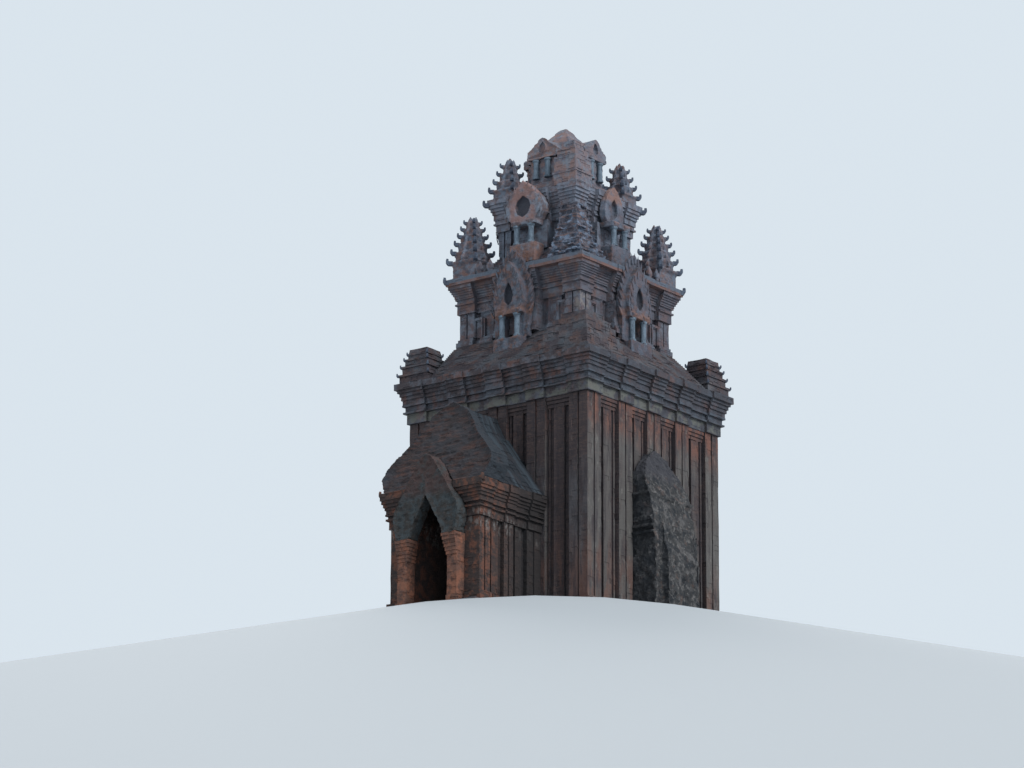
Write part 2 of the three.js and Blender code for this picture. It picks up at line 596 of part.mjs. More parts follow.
// On the right face the tiers have worn down to one leaning lance shape, with a lump in front of its foot
const WORN_DOOR_TOP_Z = 10200;
const WORN_LUMP_HALF = 1400;
const WORN_LUMP_TOP_Z = 5800;
const wornLance = panel(mirrored([[FALSE_DOOR_HALF, FLOOR_Z], [FALSE_DOOR_HALF, 7750], [1880, 8250],
  [1690, 8670], [1300, 9350], [700, 9900], [0, WORN_DOOR_TOP_Z]]), DOOR_FRONT, DOOR_BACK);
const wornFace = profiled([[DOOR_BACK, FLOOR_Z], [-7500, FLOOR_Z], [-7490, 4300], [-7370, 6100], [-6970, 7700],
  [-6700, 8600], [-6420, 9300], [-6150, WORN_DOOR_TOP_Z], [DOOR_BACK, WORN_DOOR_TOP_Z]], BODY_HALF);
const wornLump = profiled([[DOOR_BACK, FLOOR_Z], [-7950, FLOOR_Z], [-7930, 4000], [-7670, 4900],
  [-7600, WORN_LUMP_TOP_Z], [DOOR_BACK, WORN_LUMP_TOP_Z]], WORN_LUMP_HALF);
const wornDoor = joined([
  wornLance.intersect(wornFace),
  wornLump,
  blockAbout(FALSE_DOOR_FOOT, -7640, FLOOR_Z, 620),
  blockAbout(FALSE_DOOR_HALF + 80, -7580, 610, 900),
  blockAbout(FALSE_DOOR_HALF + 80, -7250, 5450, 5560),
  blockAbout(FALSE_DOOR_HALF + 110, -7200, 5800, JAMB_TOP_Z),
]).subtract(course(storeyPlan(BODY_BAYS, JOINT_GAP), 0, BODY_TOP_Z));
addNode('false_door_right', wornDoor, lichenBrick, onFace(FACES.right));

// Porch: plan with a corner pilaster and two more on each side wall, from its front to the tower
const PORCH_BAYS = [
  [-10300, 0], [-10050, 250], [-9500, 130], [-9150, 250], [-8350, 0], [-8050, 250], [-7500, 130],
  [-7200, 250], [-BODY_HALF - JOINT_GAP, 0],
];
const PORCH_CORNICE_BAYS = [
  [-10300, 0], [-9150, 120], [-8350, 0], [-7200, 120], [-BODY_HALF - JOINT_GAP, 0],
];
function porchPlan(bays, grow = 0) {
  const right = [];
  let start = PORCH_FRONT_Y - grow;
  for (const [end, depth] of bays) {
    right.push([PORCH_HALF + grow - depth, start], [PORCH_HALF + grow - depth, end]);
    start = end;
  }
  const left = right.map(([x, y]) => [-x, y]).reverse();
  return [...right, ...left];
}
function porchCourses(bays, baseZ, courses) {
  return stacked((grow) => porchPlan(bays, grow), baseZ, courses);
}

// The room runs from the entrance front to the tower, between the two side walls
function porchRoom(z0, z1) {
  return block([-PORCH_ROOM_HALF, PORCH_ROOM_HALF], [PORCH_FRONT_Y - 1000, -BODY_HALF + 100], [z0, z1]);
}

// Entrance front: two thick pillars, and a tall pediment round the pointed head of the doorway
const archBack = PORCH_FRONT_Y - JOINT_GAP;
const doorwayHead = [
  [DOORWAY_HALF - 240, ENTRANCE_SPRING_Z - CUT_OVER], [1000, 4300], [780, 4750], [520, 5200], [290, 5650],
  [120, 5950], [0, ENTRANCE_APEX_Z],
];
const PEDIMENT = [
  [PILLAR_OUTER, ENTRANCE_SPRING_Z], [2100, 4600], [2180, 5100], [2080, 5600], [1800, 6050], [1540, 6400],
  [1280, 6900], [930, 7400], [600, 7950], [280, 8300], [0, 8420],
];
const archCut = panel(mirrored(doorwayHead), ARCH_FRONT_Y - CUT_OVER, archBack + CUT_OVER);
addNode('entrance_arch', panel(mirrored(PEDIMENT), ARCH_FRONT_Y, archBack).subtract(archCut), brick);
const pedimentSeat = panel(mirrored(PEDIMENT.map(([x, z], i) => [
  x > 0 ? x + 2 * JOINT_GAP : 0, i > 0 ? z + 2 * JOINT_GAP : z - 500,
])), ARCH_FRONT_Y - 400, PORCH_FRONT_Y);

// Each pillar's capital steps out over the doorway and to the front, course by course
const CAPITAL_COURSES = 6;
const CAPITAL_STEP = 40;
const pillarParts = [
  block([DOORWAY_HALF, PILLAR_OUTER], [PILLAR_FRONT_Y, archBack], [FLOOR_Z, CAPITAL_BASE_Z]),
  block([DOORWAY_HALF, PILLAR_OUTER + 80], [PILLAR_FRONT_Y - 90, archBack], [FLOOR_Z, 700]),
];
const capitalRise = (ENTRANCE_SPRING_Z - CAPITAL_BASE_Z) / CAPITAL_COURSES;
for (let i = 0; i < CAPITAL_COURSES; i += 1) {
  const grow = CAPITAL_STEP * (i + 1);
  const base = CAPITAL_BASE_Z + capitalRise * i;
  pillarParts.push(block([DOORWAY_HALF - grow, PILLAR_OUTER + grow / 8], [PILLAR_FRONT_Y - grow, archBack],
    [base, base + capitalRise]));
}
const pillar = joined(pillarParts);
addNode('entrance_pillar_right', pillar, brick);
addNode('entrance_pillar_left', pillar.mirror([1, 0, 0]), brick);

const pillarSeat = block([-PILLAR_OUTER - 100, PILLAR_OUTER + 100], [PILLAR_FRONT_Y - 200, PORCH_FRONT_Y],
  [0, PORCH_FOOT[1][0]]);
const porchWalls = porchCourses(PORCH_BAYS, FLOOR_Z, [...PORCH_FOOT, [PORCH_TOP_Z, 0]])
  .subtract(porchRoom(0, PORCH_TOP_Z + CUT_OVER))
  .subtract(pillarSeat);
const porchCornices = porchCourses(PORCH_CORNICE_BAYS, PORCH_TOP_Z, [
  [5340, 90], [5450, 220], [5600, 130], [5710, 240], [5900, 210], [6060, 260], [6240, 320], [6420, 390],
  [PORCH_SLAB_TOP_Z, 450],
])
  .subtract(porchRoom(PORCH_TOP_Z - CUT_OVER, PORCH_SLAB_TOP_Z + CUT_OVER))
  .subtract(pedimentSeat);
for (const [side, span] of [['right', [0, REACH]], ['left', [-REACH, 0]]]) {
  const half = block(span, [-2 * REACH, -BODY_HALF], [0, PORCH_SLAB_TOP_Z]);
  addNode('porch_wall_' + side, porchWalls.intersect(half), brick);
  addNode('porch_cornice_' + side, porchCornices.intersect(half), brick);
}

// Porch roof: a steep pointed vault with hollow slopes, and the broad leaning gable at its front
const GABLE_BACK_Y = -9600;
const vaultOuter = mirrored([
  [3250, PORCH_SLAB_TOP_Z], [2600, 7700], [1700, 8910], [1100, 9700], [570, 10410], [250, 11000],
  [0, PORCH_RIDGE_Z],
]);
const vaultInner = mirrored([[PORCH_ROOM_HALF, PORCH_SLAB_TOP_Z - CUT_OVER], [850, 8000], [0, 9400]]);
const porchRoof = panel(vaultOuter, GABLE_BACK_Y + JOINT_GAP, DOOR_BACK)
  .subtract(panel(vaultInner, GABLE_BACK_Y - CUT_OVER, DOOR_BACK + CUT_OVER))
  .subtract(course(storeyPlan(BODY_BAYS, JOINT_GAP), 0, BODY_TOP_Z));
addNode('porch_roof', porchRoof, darkBrick);

const GABLE_FOOT_Y = -11510;
const GABLE_LEAN = 0.34;
function leaningPanel(outline, yBack) {
  const shape = new THREE.Shape(outline.map(([x, z]) => new THREE.Vector2(x, z)));
  const slab = new THREE.ExtrudeGeometry(shape, { depth: 1, bevelEnabled: false });
  slab.rotateX(Math.PI / 2).translate(0, yBack, 0);
  const place = slab.attributes.position;
  for (let i = 0; i < place.count; i += 1) {
    if (place.getY(i) < yBack - 0.5) {
      place.setY(i, GABLE_FOOT_Y + (place.getZ(i) - PORCH_SLAB_TOP_Z) * GABLE_LEAN);
    }
  }
  return solid(slab);
}
const gableOutline = mirrored([
  [3330, PORCH_SLAB_TOP_Z], [3450, 7200], [3640, 7700], [3560, 8200], [2900, 8930], [2200, 9660],
  [1700, 10450], [1180, 11110], [560, 11470], [0, 11750],
]);
addNode('porch_gable', leaningPanel(gableOutline, GABLE_BACK_Y).subtract(pedimentSeat), brick);

export default temple;
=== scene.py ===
# %% [markdown]
# # A ruined brick temple tower
# The real building is a brick tower nearly thirty metres tall, with a vaulted porch, false doors, stepped
# upper storeys, arched niches and spiky corner turrets. Its bricks were laid with hardly any mortar and then
# carved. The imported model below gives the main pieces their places, and the small ones are set against them.
# All sizes are in metres.

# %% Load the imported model
from collections import namedtuple
import math

import bpy
import numpy as np
from mathutils import Matrix, Vector


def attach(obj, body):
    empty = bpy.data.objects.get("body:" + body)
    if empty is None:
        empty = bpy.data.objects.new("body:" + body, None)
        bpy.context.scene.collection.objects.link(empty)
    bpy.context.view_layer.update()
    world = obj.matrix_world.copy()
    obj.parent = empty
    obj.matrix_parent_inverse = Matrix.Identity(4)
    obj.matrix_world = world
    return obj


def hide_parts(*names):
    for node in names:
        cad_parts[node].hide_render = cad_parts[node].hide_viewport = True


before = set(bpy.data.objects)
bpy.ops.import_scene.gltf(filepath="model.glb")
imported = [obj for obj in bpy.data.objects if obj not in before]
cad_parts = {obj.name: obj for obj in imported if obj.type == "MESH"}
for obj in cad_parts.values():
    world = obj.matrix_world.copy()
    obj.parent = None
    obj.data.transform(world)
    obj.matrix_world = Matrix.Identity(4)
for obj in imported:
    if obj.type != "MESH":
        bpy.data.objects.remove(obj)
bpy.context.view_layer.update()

# %% [markdown]
# The photograph was taken from well below the tower, with a long lens. The camera's place, its lens and its
# tilt were solved from the building's own corners, so it stands 46 m under the foot of the tower and looks
# up.

# %% Camera
CAMERA_PLACE = Vector((129.403, -172.410, -46.36))
CAMERA_HEADING = math.radians(37.656)
CAMERA_PITCH = math.radians(15.864)
CAMERA_ROLL = math.radians(0.275)
CAMERA_LENS = 143.99
CAMERA_SIGHT = 2000

level_ahead = Vector((-math.sin(CAMERA_HEADING), math.cos(CAMERA_HEADING), 0))
level_right = Vector((math.cos(CAMERA_HEADING), math.sin(CAMERA_HEADING), 0))
ahead = level_ahead * math.cos(CAMERA_PITCH) + Vector((0, 0, math.sin(CAMERA_PITCH)))
straight_up = level_right.cross(ahead)
right = level_right * math.cos(CAMERA_ROLL) + straight_up * math.sin(CAMERA_ROLL)
up = straight_up * math.cos(CAMERA_ROLL) - level_right * math.sin(CAMERA_ROLL)

camera = bpy.data.objects.new("camera", bpy.data.cameras.new("camera"))
bpy.context.scene.collection.objects.link(camera)
camera.data.lens = CAMERA_LENS
camera.data.clip_end = CAMERA_SIGHT
turn = Matrix((right, up, -ahead)).transposed()
camera.matrix_world = Matrix.Translation(CAMERA_PLACE) @ turn.to_4x4()
bpy.context.scene.camera = camera
print("camera", tuple(round(v, 2) for v in camera.location))

# %% [markdown]
# Colours are picked as sRGB hex values, the way a paint chart gives them, but shaders count in linear light.
# One function turns the one into the other. A second small function adds a node with its settings and
# links, and gives back one of its output sockets, so that the next node can take it up at once.

# %% Colour and node helpers
def linear(hex_colour):
    """An sRGB hex value, such as 8e4b37, as linear red, green, blue and alpha."""
    channels = [int(hex_colour[i:i + 2], 16) / 255 for i in (0, 2, 4)]
    return [c / 12.92 if c <= 0.04045 else ((c + 0.055) / 1.055) ** 2.4 for c in channels] + [1.0]


def add_node(tree, kind, inputs=None, output=0, **settings):
    """Adds a node and gives its output socket. inputs maps each input to a value or to another socket."""
    node = tree.nodes.new(kind)
    for name, value in settings.items():
        setattr(node, name, value)
    for name, value in (inputs or {}).items():
        if isinstance(value, bpy.types.NodeSocket):
            tree.links.new(value, node.inputs[name])
        else:
            node.inputs[name].default_value = value
    return node.outputs[output]


print("brick red in linear light:", [round(c, 3) for c in linear("8e4b37")])

# %% [markdown]
# The floor is a plain pale mound. It falls away from the foot of the walls at a slope that the low camera
# looks along, so the building stands on it and nothing hides the walls. Its paint is matt, so it shows soft
# shadows and no shine.

# %% Mound
MOUND_REACH = 150
MOUND_SQUARES = 120
MOUND_SLOPE = math.tan(math.radians(15.5))
MOUND_TOP = -0.02
MOUND_MIDDLE_Y = -2
FOOT_REACH = 12.0

bpy.ops.object.select_all(action="DESELECT")
bpy.ops.mesh.primitive_grid_add(x_subdivisions=MOUND_SQUARES, y_subdivisions=MOUND_SQUARES,
                                size=2 * MOUND_REACH)
mound = bpy.context.object
mound.name = "mound"
for vertex in mound.data.vertices:
    away = max(0.0, math.hypot(vertex.co.x, vertex.co.y - MOUND_MIDDLE_Y) - FOOT_REACH)
    vertex.co.z = MOUND_TOP - MOUND_SLOPE * away
bpy.ops.object.shade_smooth()

floor_paint = bpy.data.materials.new("pale floor paint")
floor_paint.use_nodes = True
floor_shader = floor_paint.node_tree.nodes["Principled BSDF"]
floor_shader.inputs["Base Color"].default_value = linear("a9adb0")
floor_shader.inputs["Roughness"].default_value = 0.9
mound.data.materials.append(floor_paint)
print("mound falls", round(MOUND_SLOPE, 3), "m for each metre out")

# %% [markdown]
# The photograph's light is that of a bright overcast day. A pale backdrop all round gives most of it, and
# one wide soft lamp from the right makes the right-hand faces brighter than the left-hand ones. A weaker
# lamp from behind keeps the far sides readable.

# %% Light and backdrop
LAMPS = {"key light": ((-0.85, 0.12, -0.62), 2.1), "back light": ((0.60, -0.64, -0.48), 1.1)}
LAMP_WIDTH = math.radians(25)
BACKDROP_STRENGTH = 0.92

backdrop = bpy.data.worlds.new("plain backdrop")
bpy.context.scene.world = backdrop
backdrop.use_nodes = True
backdrop.node_tree.nodes["Background"].inputs["Color"].default_value = linear("e2edf6")
backdrop.node_tree.nodes["Background"].inputs["Strength"].default_value = BACKDROP_STRENGTH

for name, (direction, energy) in LAMPS.items():
    lamp = bpy.data.objects.new(name, bpy.data.lights.new(name, "SUN"))
    bpy.context.scene.collection.objects.link(lamp)
    lamp.data.energy = energy
    lamp.data.angle = LAMP_WIDTH
    lamp.rotation_euler = Vector(direction).to_track_quat("-Z", "Y").to_euler()
    print(name, energy)
bpy.context.scene.view_settings.view_transform = "Standard"

# %% [markdown]
# Low-fired brick is a dull mauve brown that weather changes: it turns orange where a face has freshly
# spalled, black where water stands and algae grow, and grey where lichen and lime have dried in streaks. The
# bricks are 310 mm long and 69 mm high with their joints. A joint is drawn 8 mm wide, 4 mm of it on each
# brick. The beds between courses are also drawn as soft level bands 0.25 m apart, because single joints are
# too fine to show. One recipe serves every finish: it lays the bricks, then each kind of weather over them
# on its own noise.

# %% Places on the wall, and kinds of weather
# Painted shade: how far and how finely the occlusion test looks round each point for walls that shut it in
SHADE_REACH = 0.6
SHADE_SAMPLES = 6
EVEN = (1, 1, 1)
STREAKED = (1, 1, 0.14)
BEDDED = (0.35, 0.35, 4.0)
ALL_OVER = (-1.0, 0.0)

# One kind of weather: its colour and share, the size of its patches in metres, how their edges cut the
# noise, how they are drawn out, and the zones that it keeps to. A zone is a coordinate, the value where it
# starts and the value where it is full.
Weather = namedtuple("Weather", "colour share size edge stretch zones", defaults=((0.42, 0.62), EVEN, ()))


def wall_place(tree):
    """Sockets that say where a point lies, which way its face looks and how open to the air it is."""
    place = add_node(tree, "ShaderNodeTexCoord", output="Object")
    x, y, z = add_node(tree, "ShaderNodeSeparateXYZ", {0: place}).node.outputs
    normal = add_node(tree, "ShaderNodeNewGeometry", output="Normal")
    east, _, upward = add_node(tree, "ShaderNodeSeparateXYZ", {0: normal}).node.outputs
    across = add_node(tree, "ShaderNodeMath", {0: x}, operation="ABSOLUTE")
    along = add_node(tree, "ShaderNodeMath", {0: y}, operation="ABSOLUTE")
    reach = add_node(tree, "ShaderNodeMath", {0: across, 1: along}, operation="MAXIMUM")
    aside = add_node(tree, "ShaderNodeMath", {0: across, 1: along}, operation="MINIMUM")
    sideways = add_node(tree, "ShaderNodeMath", {0: east}, operation="ABSOLUTE")
    open_air = add_node(tree, "ShaderNodeAmbientOcclusion", {"Distance": SHADE_REACH}, output="AO",
                        samples=SHADE_SAMPLES)
    return {"place": place, "x": x, "y": y, "z": z, "upward": upward, "reach": reach, "aside": aside,
            "sideways": sideways, "open": open_air}


print("weather has:", ", ".join(Weather._fields))

# %% [markdown]
# The bond runs round corners, because walls take their courses along x plus y. Level faces, such as the tops
# of the slabs, are laid in plan instead.

# %% The recipe for weathered brick
BRICK_LENGTH = 0.310
BRICK_RISE = 0.069
HALF_JOINT = 0.004
LEVEL_FACE = 0.6
LAYER_SHIFT = 7.3
BRICK_ROUGHNESS = 0.93
BRICK_SHINE = 0.3
# Painted shade falls where the occlusion test finds a point shut in
SHADED_HOLLOWS = ("open", 0.75, 0.30)
# The grit of worn brick is too fine to show, so it is drawn coarser, as lumps about 0.1 m wide
GRITS_PER_METRE = 9.0
JOINT_DEPTH, GRIT_DEPTH = 0.008, 0.05
PATCH_DETAIL, PATCH_ROUGHNESS = 7.0, 0.62


def brick_bond(tree, wall, light, dark, joint):
    """Courses of brick on any face: walls take them along x or y and up z, level faces along x and y."""
    tilt = add_node(tree, "ShaderNodeMath", {0: wall["upward"]}, operation="ABSOLUTE")
    level = add_node(tree, "ShaderNodeMath", {0: tilt, 1: LEVEL_FACE}, operation="GREATER_THAN")
    both = add_node(tree, "ShaderNodeMath", {0: wall["x"], 1: wall["y"]}, operation="ADD")
    upright_plan = add_node(tree, "ShaderNodeCombineXYZ", {0: both, 1: wall["z"]})
    level_plan = add_node(tree, "ShaderNodeCombineXYZ", {0: wall["x"], 1: wall["y"]})
    plan = add_node(tree, "ShaderNodeMix", {0: level, 4: upright_plan, 5: level_plan}, output=1,
                    data_type="VECTOR")
    return add_node(tree, "ShaderNodeTexBrick", {
        "Vector": plan, "Color1": linear(light), "Color2": linear(dark), "Mortar": linear(joint),
        "Scale": 1.0, "Mortar Size": HALF_JOINT, "Mortar Smooth": 0.3, "Brick Width": BRICK_LENGTH,
        "Row Height": BRICK_RISE}).node


def weathered(tree, wall, colour, weather, order):
    """Lays one kind of weather over the colour below it."""
    drawn = add_node(tree, "ShaderNodeMapping", {
        "Vector": wall["place"], "Location": (LAYER_SHIFT * order, 0, 0), "Scale": weather.stretch})
    noise = add_node(tree, "ShaderNodeTexNoise", {"Vector": drawn, "Scale": 1 / weather.size,
                                                  "Detail": PATCH_DETAIL, "Roughness": PATCH_ROUGHNESS})
    low, high = weather.edge
    share = add_node(tree, "ShaderNodeMapRange", {0: noise, 1: low, 2: high, 4: weather.share},
                     interpolation_type="SMOOTHSTEP")
    for coordinate, start, full in weather.zones:
        zone = add_node(tree, "ShaderNodeMapRange", {0: wall[coordinate], 1: start, 2: full},
                        interpolation_type="SMOOTHSTEP")
        share = add_node(tree, "ShaderNodeMath", {0: share, 1: zone}, operation="MULTIPLY")
    return add_node(tree, "ShaderNodeMix", {0: share, 6: colour, 7: linear(weather.colour)}, output=2,
                    data_type="RGBA")


def brick_finish(name, light, dark, soot_and_shade, *weathers):
    """Fired brick in two tones, mottled and bedded, with its own weather, and painted shade where it is shut
    in.
    """
    material = bpy.data.materials.new(name)
    material.use_nodes = True
    tree = material.node_tree
    shader = tree.nodes["Principled BSDF"]
    shader.inputs["Roughness"].default_value = BRICK_ROUGHNESS
    shader.inputs["Specular IOR Level"].default_value = BRICK_SHINE
    wall = wall_place(tree)
    bond = brick_bond(tree, wall, light, dark, soot_and_shade)
    colour = bond.outputs["Color"]
    bed_bands = Weather(dark, 0.6, 1.0, (0.44, 0.60), BEDDED)
    specks = Weather(soot_and_shade, 0.35, 0.22, (0.45, 0.70))
    # Painted shade in hollows and corners, in the soot colour that the joints and specks also take
    hollow_shade = Weather(soot_and_shade, 0.65, 0.5, (0.20, 0.45), EVEN, (SHADED_HOLLOWS,))
    for order, weather in enumerate([bed_bands, specks, *weathers, hollow_shade]):
        colour = weathered(tree, wall, colour, weather, order)
    tree.links.new(colour, shader.inputs["Base Color"])
    grit = add_node(tree, "ShaderNodeTexNoise", {"Vector": wall["place"], "Scale": GRITS_PER_METRE,
                                                 "Detail": 8.0})
    joints = add_node(tree, "ShaderNodeBump", {"Strength": 0.6, "Distance": JOINT_DEPTH,
                                               "Height": bond.outputs["Fac"]}, invert=True)
    worn = add_node(tree, "ShaderNodeBump", {"Strength": 0.8, "Distance": GRIT_DEPTH, "Height": grit,
                                             "Normal": joints})
    tree.links.new(worn, shader.inputs["Normal"])
    return material


print("bond: a brick is", BRICK_LENGTH, "by", BRICK_RISE, "m with its joint")

# %% [markdown]
# On the tower's walls the weather has its places. The proud faces of the pilasters and of the strips between
# them are grey with lichen, the side walls are burnt orange along their tops, and the recesses stay dark.

# %% Finish of the tower's walls
PROUD = ("reach", 5.86, 5.93)
HALF_PROUD = ("reach", 5.71, 5.76)
SIDE_FACES = ("sideways", 0.3, 0.7)
END_FACES = ("sideways", 0.7, 0.3)
BELOW_TOP = ("z", 11.6, 9.8)
TOWARD_TOP = ("z", 9.6, 11.4)
LOWER_WALL = ("z", 9.4, 8.2)
TOWARD_FOOT = ("z", 5.5, 2.5)

# Old red brick under streaks of lichen: a striped wall, grey where it is proud and red brown where it isn't
tower_brick = brick_finish(
    "fired brick, streaked", "574845", "433b3d", "2b2b30",
    Weather("595654", 0.80, 0.7, (0.36, 0.56), STREAKED, (HALF_PROUD, SIDE_FACES, BELOW_TOP)),
    Weather("5a5a5e", 0.70, 1.2, (0.40, 0.62), (1, 1, 0.3), (PROUD, END_FACES, LOWER_WALL)),
    Weather("5a5856", 0.75, 0.8, (0.36, 0.60), (1, 1, 0.35), (PROUD, SIDE_FACES, BELOW_TOP)),
    Weather("7f5547", 0.65, 0.5, (0.38, 0.62), (1, 1, 0.4), (HALF_PROUD, SIDE_FACES, TOWARD_TOP)),
    Weather("6b4d43", 0.60, 0.8, (0.44, 0.60), (1, 1, 0.3), (TOWARD_FOOT,)),
    Weather("383438", 0.60, 0.30, (0.48, 0.62), STREAKED),
    Weather("7a7772", 0.45, 0.22, (0.56, 0.68), (1, 1, 0.4), (PROUD, SIDE_FACES)))
print(tower_brick.name)

# %% [markdown]
# The other finishes differ in how much of each weather they carry. Their side faces are darkened with painted
# shade. Rain has left a grey bloom on the upper storeys, which thickens with height. The cornice has one pale
# band of lichen under its fins, and the slabs' edges are blue grey.

# %% Finishes of the cornices and slabs
BLOOM = "75818f"
WITH_HEIGHT = ("z", 20.6, 22.6)
HIGH_BLOOM = Weather("808c9d", 0.50, 0.5, (0.38, 0.58), (1, 1, 0.7), (WITH_HEIGHT,))
PALE_BAND = (("z", 12.26, 12.32), ("z", 12.83, 12.79))
BLUE_BAND = (("z", 12.79, 12.84), ("z", 13.34, 13.30))
UNDER_SLAB = (("z", 20.06, 20.12), ("z", 20.34, 20.30))
SLAB_EDGE = (("z", 20.30, 20.34), ("z", 20.56, 20.52))


def side_shade(colour, share):
    """Painted shade that darkens most of a finish's side faces, those that look along x."""
    return Weather(colour, share, 0.9, (0.26, 0.52), EVEN, (SIDE_FACES,))


# Dark courses with a pale band below and a blue-grey one above it, so the cornice reads as layers
cornice_brick = brick_finish(
    "fired brick, cornice courses", "544b4c", "443e42", "2c2d33",
    Weather("795246", 0.40, 0.7, (0.50, 0.64)),
    Weather(BLOOM, 0.28, 0.6, (0.44, 0.62)),
    side_shade("3c424b", 0.60),
    Weather("656660", 0.80, 0.8, (0.42, 0.56), EVEN, PALE_BAND),
    Weather("56616c", 0.40, 0.5, (0.40, 0.60), EVEN, BLUE_BAND))
# Brown under the slab and blue grey along its edge, so the edge stands out as a clean line
slab_brick = brick_finish(
    "fired brick, slab courses", "5d5354", "524c53", "585c66",
    Weather("7b5a4d", 0.55, 0.6, (0.42, 0.58)),
    Weather(BLOOM, 0.45, 0.6, (0.44, 0.62)),
    side_shade("4c4d58", 0.55),
    HIGH_BLOOM,
    Weather("75564d", 0.75, 0.5, (0.34, 0.56), EVEN, UNDER_SLAB),
    Weather("576371", 0.80, 0.7, (0.28, 0.50), EVEN, SLAB_EDGE))
print([m.name for m in (cornice_brick, slab_brick)])

# %% [markdown]
# The upper storeys fade upward from brown to a bleached mauve. The niches' almond-shaped recesses get their
# painted shade from zones of their own, because they are too shallow for the painted shade of the hollows to
# find them.

# %% Finishes of the upper storeys
# Zones of painted shade inside the niches' almond-shaped recesses
THIRD_ALMOND_SHADE = (("aside", 0.52, 0.46), ("z", 23.42, 23.52), ("z", 24.80, 24.66), ("reach", 3.84, 3.78))
SECOND_ALMOND_SHADE = (("aside", 0.34, 0.28), ("z", 18.15, 18.25), ("z", 19.45, 19.30), ("reach", 5.09, 5.03))
NEAR_CORNER = (("x", 3.5, 3.9), ("y", -3.0, -3.5), ("z", 17.4, 17.6))
THIRD_ARCH = (("aside", 1.0, 0.7), ("z", 23.1, 23.4))
THIRD_FOOT = (("z", 22.1, 21.8),)
SECOND_BAND = (("z", 17.5, 17.7), ("z", 18.2, 17.9))
THIRD_HEAD = (("z", 24.5, 24.8),)

# Brown brick under a thin grey bloom, with a pale patch where the near corner has lost its face
storey_brick = brick_finish(
    "fired brick, weathered", "605354", "504b51", "484b54",
    Weather("785852", 0.50, 0.5, (0.46, 0.62)),
    Weather(BLOOM, 0.55, 0.6, (0.42, 0.60)),
    side_shade("4c4b54", 0.45),
    HIGH_BLOOM,
    Weather("7f7976", 0.75, 0.3, (0.45, 0.58), EVEN, NEAR_CORNER))
# Bare red brick, so the third storey's niches stand out warm against the grey round them
carved_brick = brick_finish(
    "fired brick, carved", "735f59", "5c545a", "555b67",
    Weather("7e8c9c", 0.60, 0.4, (0.42, 0.60), (1, 1, 0.6)),
    Weather("8d6c65", 0.70, 0.5, (0.34, 0.54), EVEN, THIRD_ARCH),
    Weather("835f51", 0.70, 0.5, (0.34, 0.56), EVEN, THIRD_FOOT),
    # Painted shade inside the almond-shaped recesses
    Weather("43464f", 0.92, 1.0, ALL_OVER, EVEN, THIRD_ALMOND_SHADE))
# The same carving under a dark crust, where red brick shows most in a band and at the top
crusted_brick = brick_finish(
    "fired brick, carved and crusted", "524a4c", "45434a", "454953",
    Weather("755850", 0.65, 0.4, (0.44, 0.60)),
    Weather("616e7d", 0.60, 0.4, (0.44, 0.60), (1, 1, 0.6)),
    HIGH_BLOOM,
    side_shade("50505b", 0.50),
    Weather("815f51", 0.65, 0.4, (0.38, 0.56), EVEN, SECOND_BAND),
    Weather("8a695d", 0.70, 0.5, (0.30, 0.50), EVEN, THIRD_HEAD),
    # Painted shade inside the almond-shaped recesses
    Weather("363840", 0.90, 1.0, ALL_OVER, EVEN, SECOND_ALMOND_SHADE))
# Sun and rain have bleached the top, so the crown is a light mauve
crown_brick = brick_finish(
    "fired brick, bleached", "7a6b6a", "64626e", "5e6573",
    Weather("8d7068", 0.65, 0.6, (0.38, 0.56)),
    Weather("75828f", 0.60, 0.5, (0.46, 0.60)),
    side_shade("5c606c", 0.45))
print([m.name for m in (storey_brick, carved_brick, crusted_brick, crown_brick)])

# %% [markdown]
# Roofs hold water and stay sooty. The turrets are mottled, and their horns carry a darker crust than the
# tiers. The colonnettes were cut from a blue-grey sandstone.

# %% Finishes of the roofs, turrets and colonnettes
# Soot with a few red and grey patches, so the roof reads as one dark slope
roof_brick = brick_finish(
    "fired brick, sooty", "554a4c", "494348", "303138",
    Weather("6f5044", 0.40, 0.7, (0.48, 0.62)),
    Weather("657078", 0.40, 0.9, (0.42, 0.64)))
# Red brown and blue grey side by side, so the tiers look mottled
turret_brick = brick_finish(
    "fired brick, blackened", "605455", "4f4c55", "4d535e",
    Weather("826156", 0.65, 0.4, (0.42, 0.58)),
    Weather("6d7d8e", 0.55, 0.45, (0.46, 0.60)),
    HIGH_BLOOM._replace(share=0.30),
    side_shade("565c68", 0.40))
# A dark blue-grey crust, so the horns stand out from the tiers
horn_brick = brick_finish(
    "fired brick, crusted dark", "4b5160", "414755", "363c48",
    Weather("5f6c7b", 0.60, 0.3, (0.46, 0.62)))
# An even blue grey, cooler than the brick beside it, so the colonnettes show as cut stone
sandstone = brick_finish(
    "sandstone, blue grey", "62707d", "5a6774", "3a434d",
    Weather("788795", 0.60, 0.2, (0.42, 0.60), (1, 1, 0.4)))
print([m.name for m in (roof_brick, turret_brick, horn_brick, sandstone)])

# %% [markdown]
# The worn corner and the false doors are eroded to rubble. They have no carved faces left to follow, so
# lichen takes hold of them in blotches of several sizes.

# %% Finishes of the ruined parts
DOOR_TOP = ("z", 7.9, 9.0)
DOOR_FRONT = ("x", 5.6, 5.9)

# Blue-grey and whitish lichen over grey-brown rubble, with level red bands where its courses were
rubble_brick = brick_finish(
    "fired brick, broken and crusted", "5c565b", "4d4c56", "4b515d",
    Weather("815f51", 0.55, 0.4, (0.50, 0.62), BEDDED),
    Weather("72849a", 0.70, 0.4, (0.46, 0.60)),
    Weather("8f9aa8", 0.35, 0.14, (0.58, 0.70)))
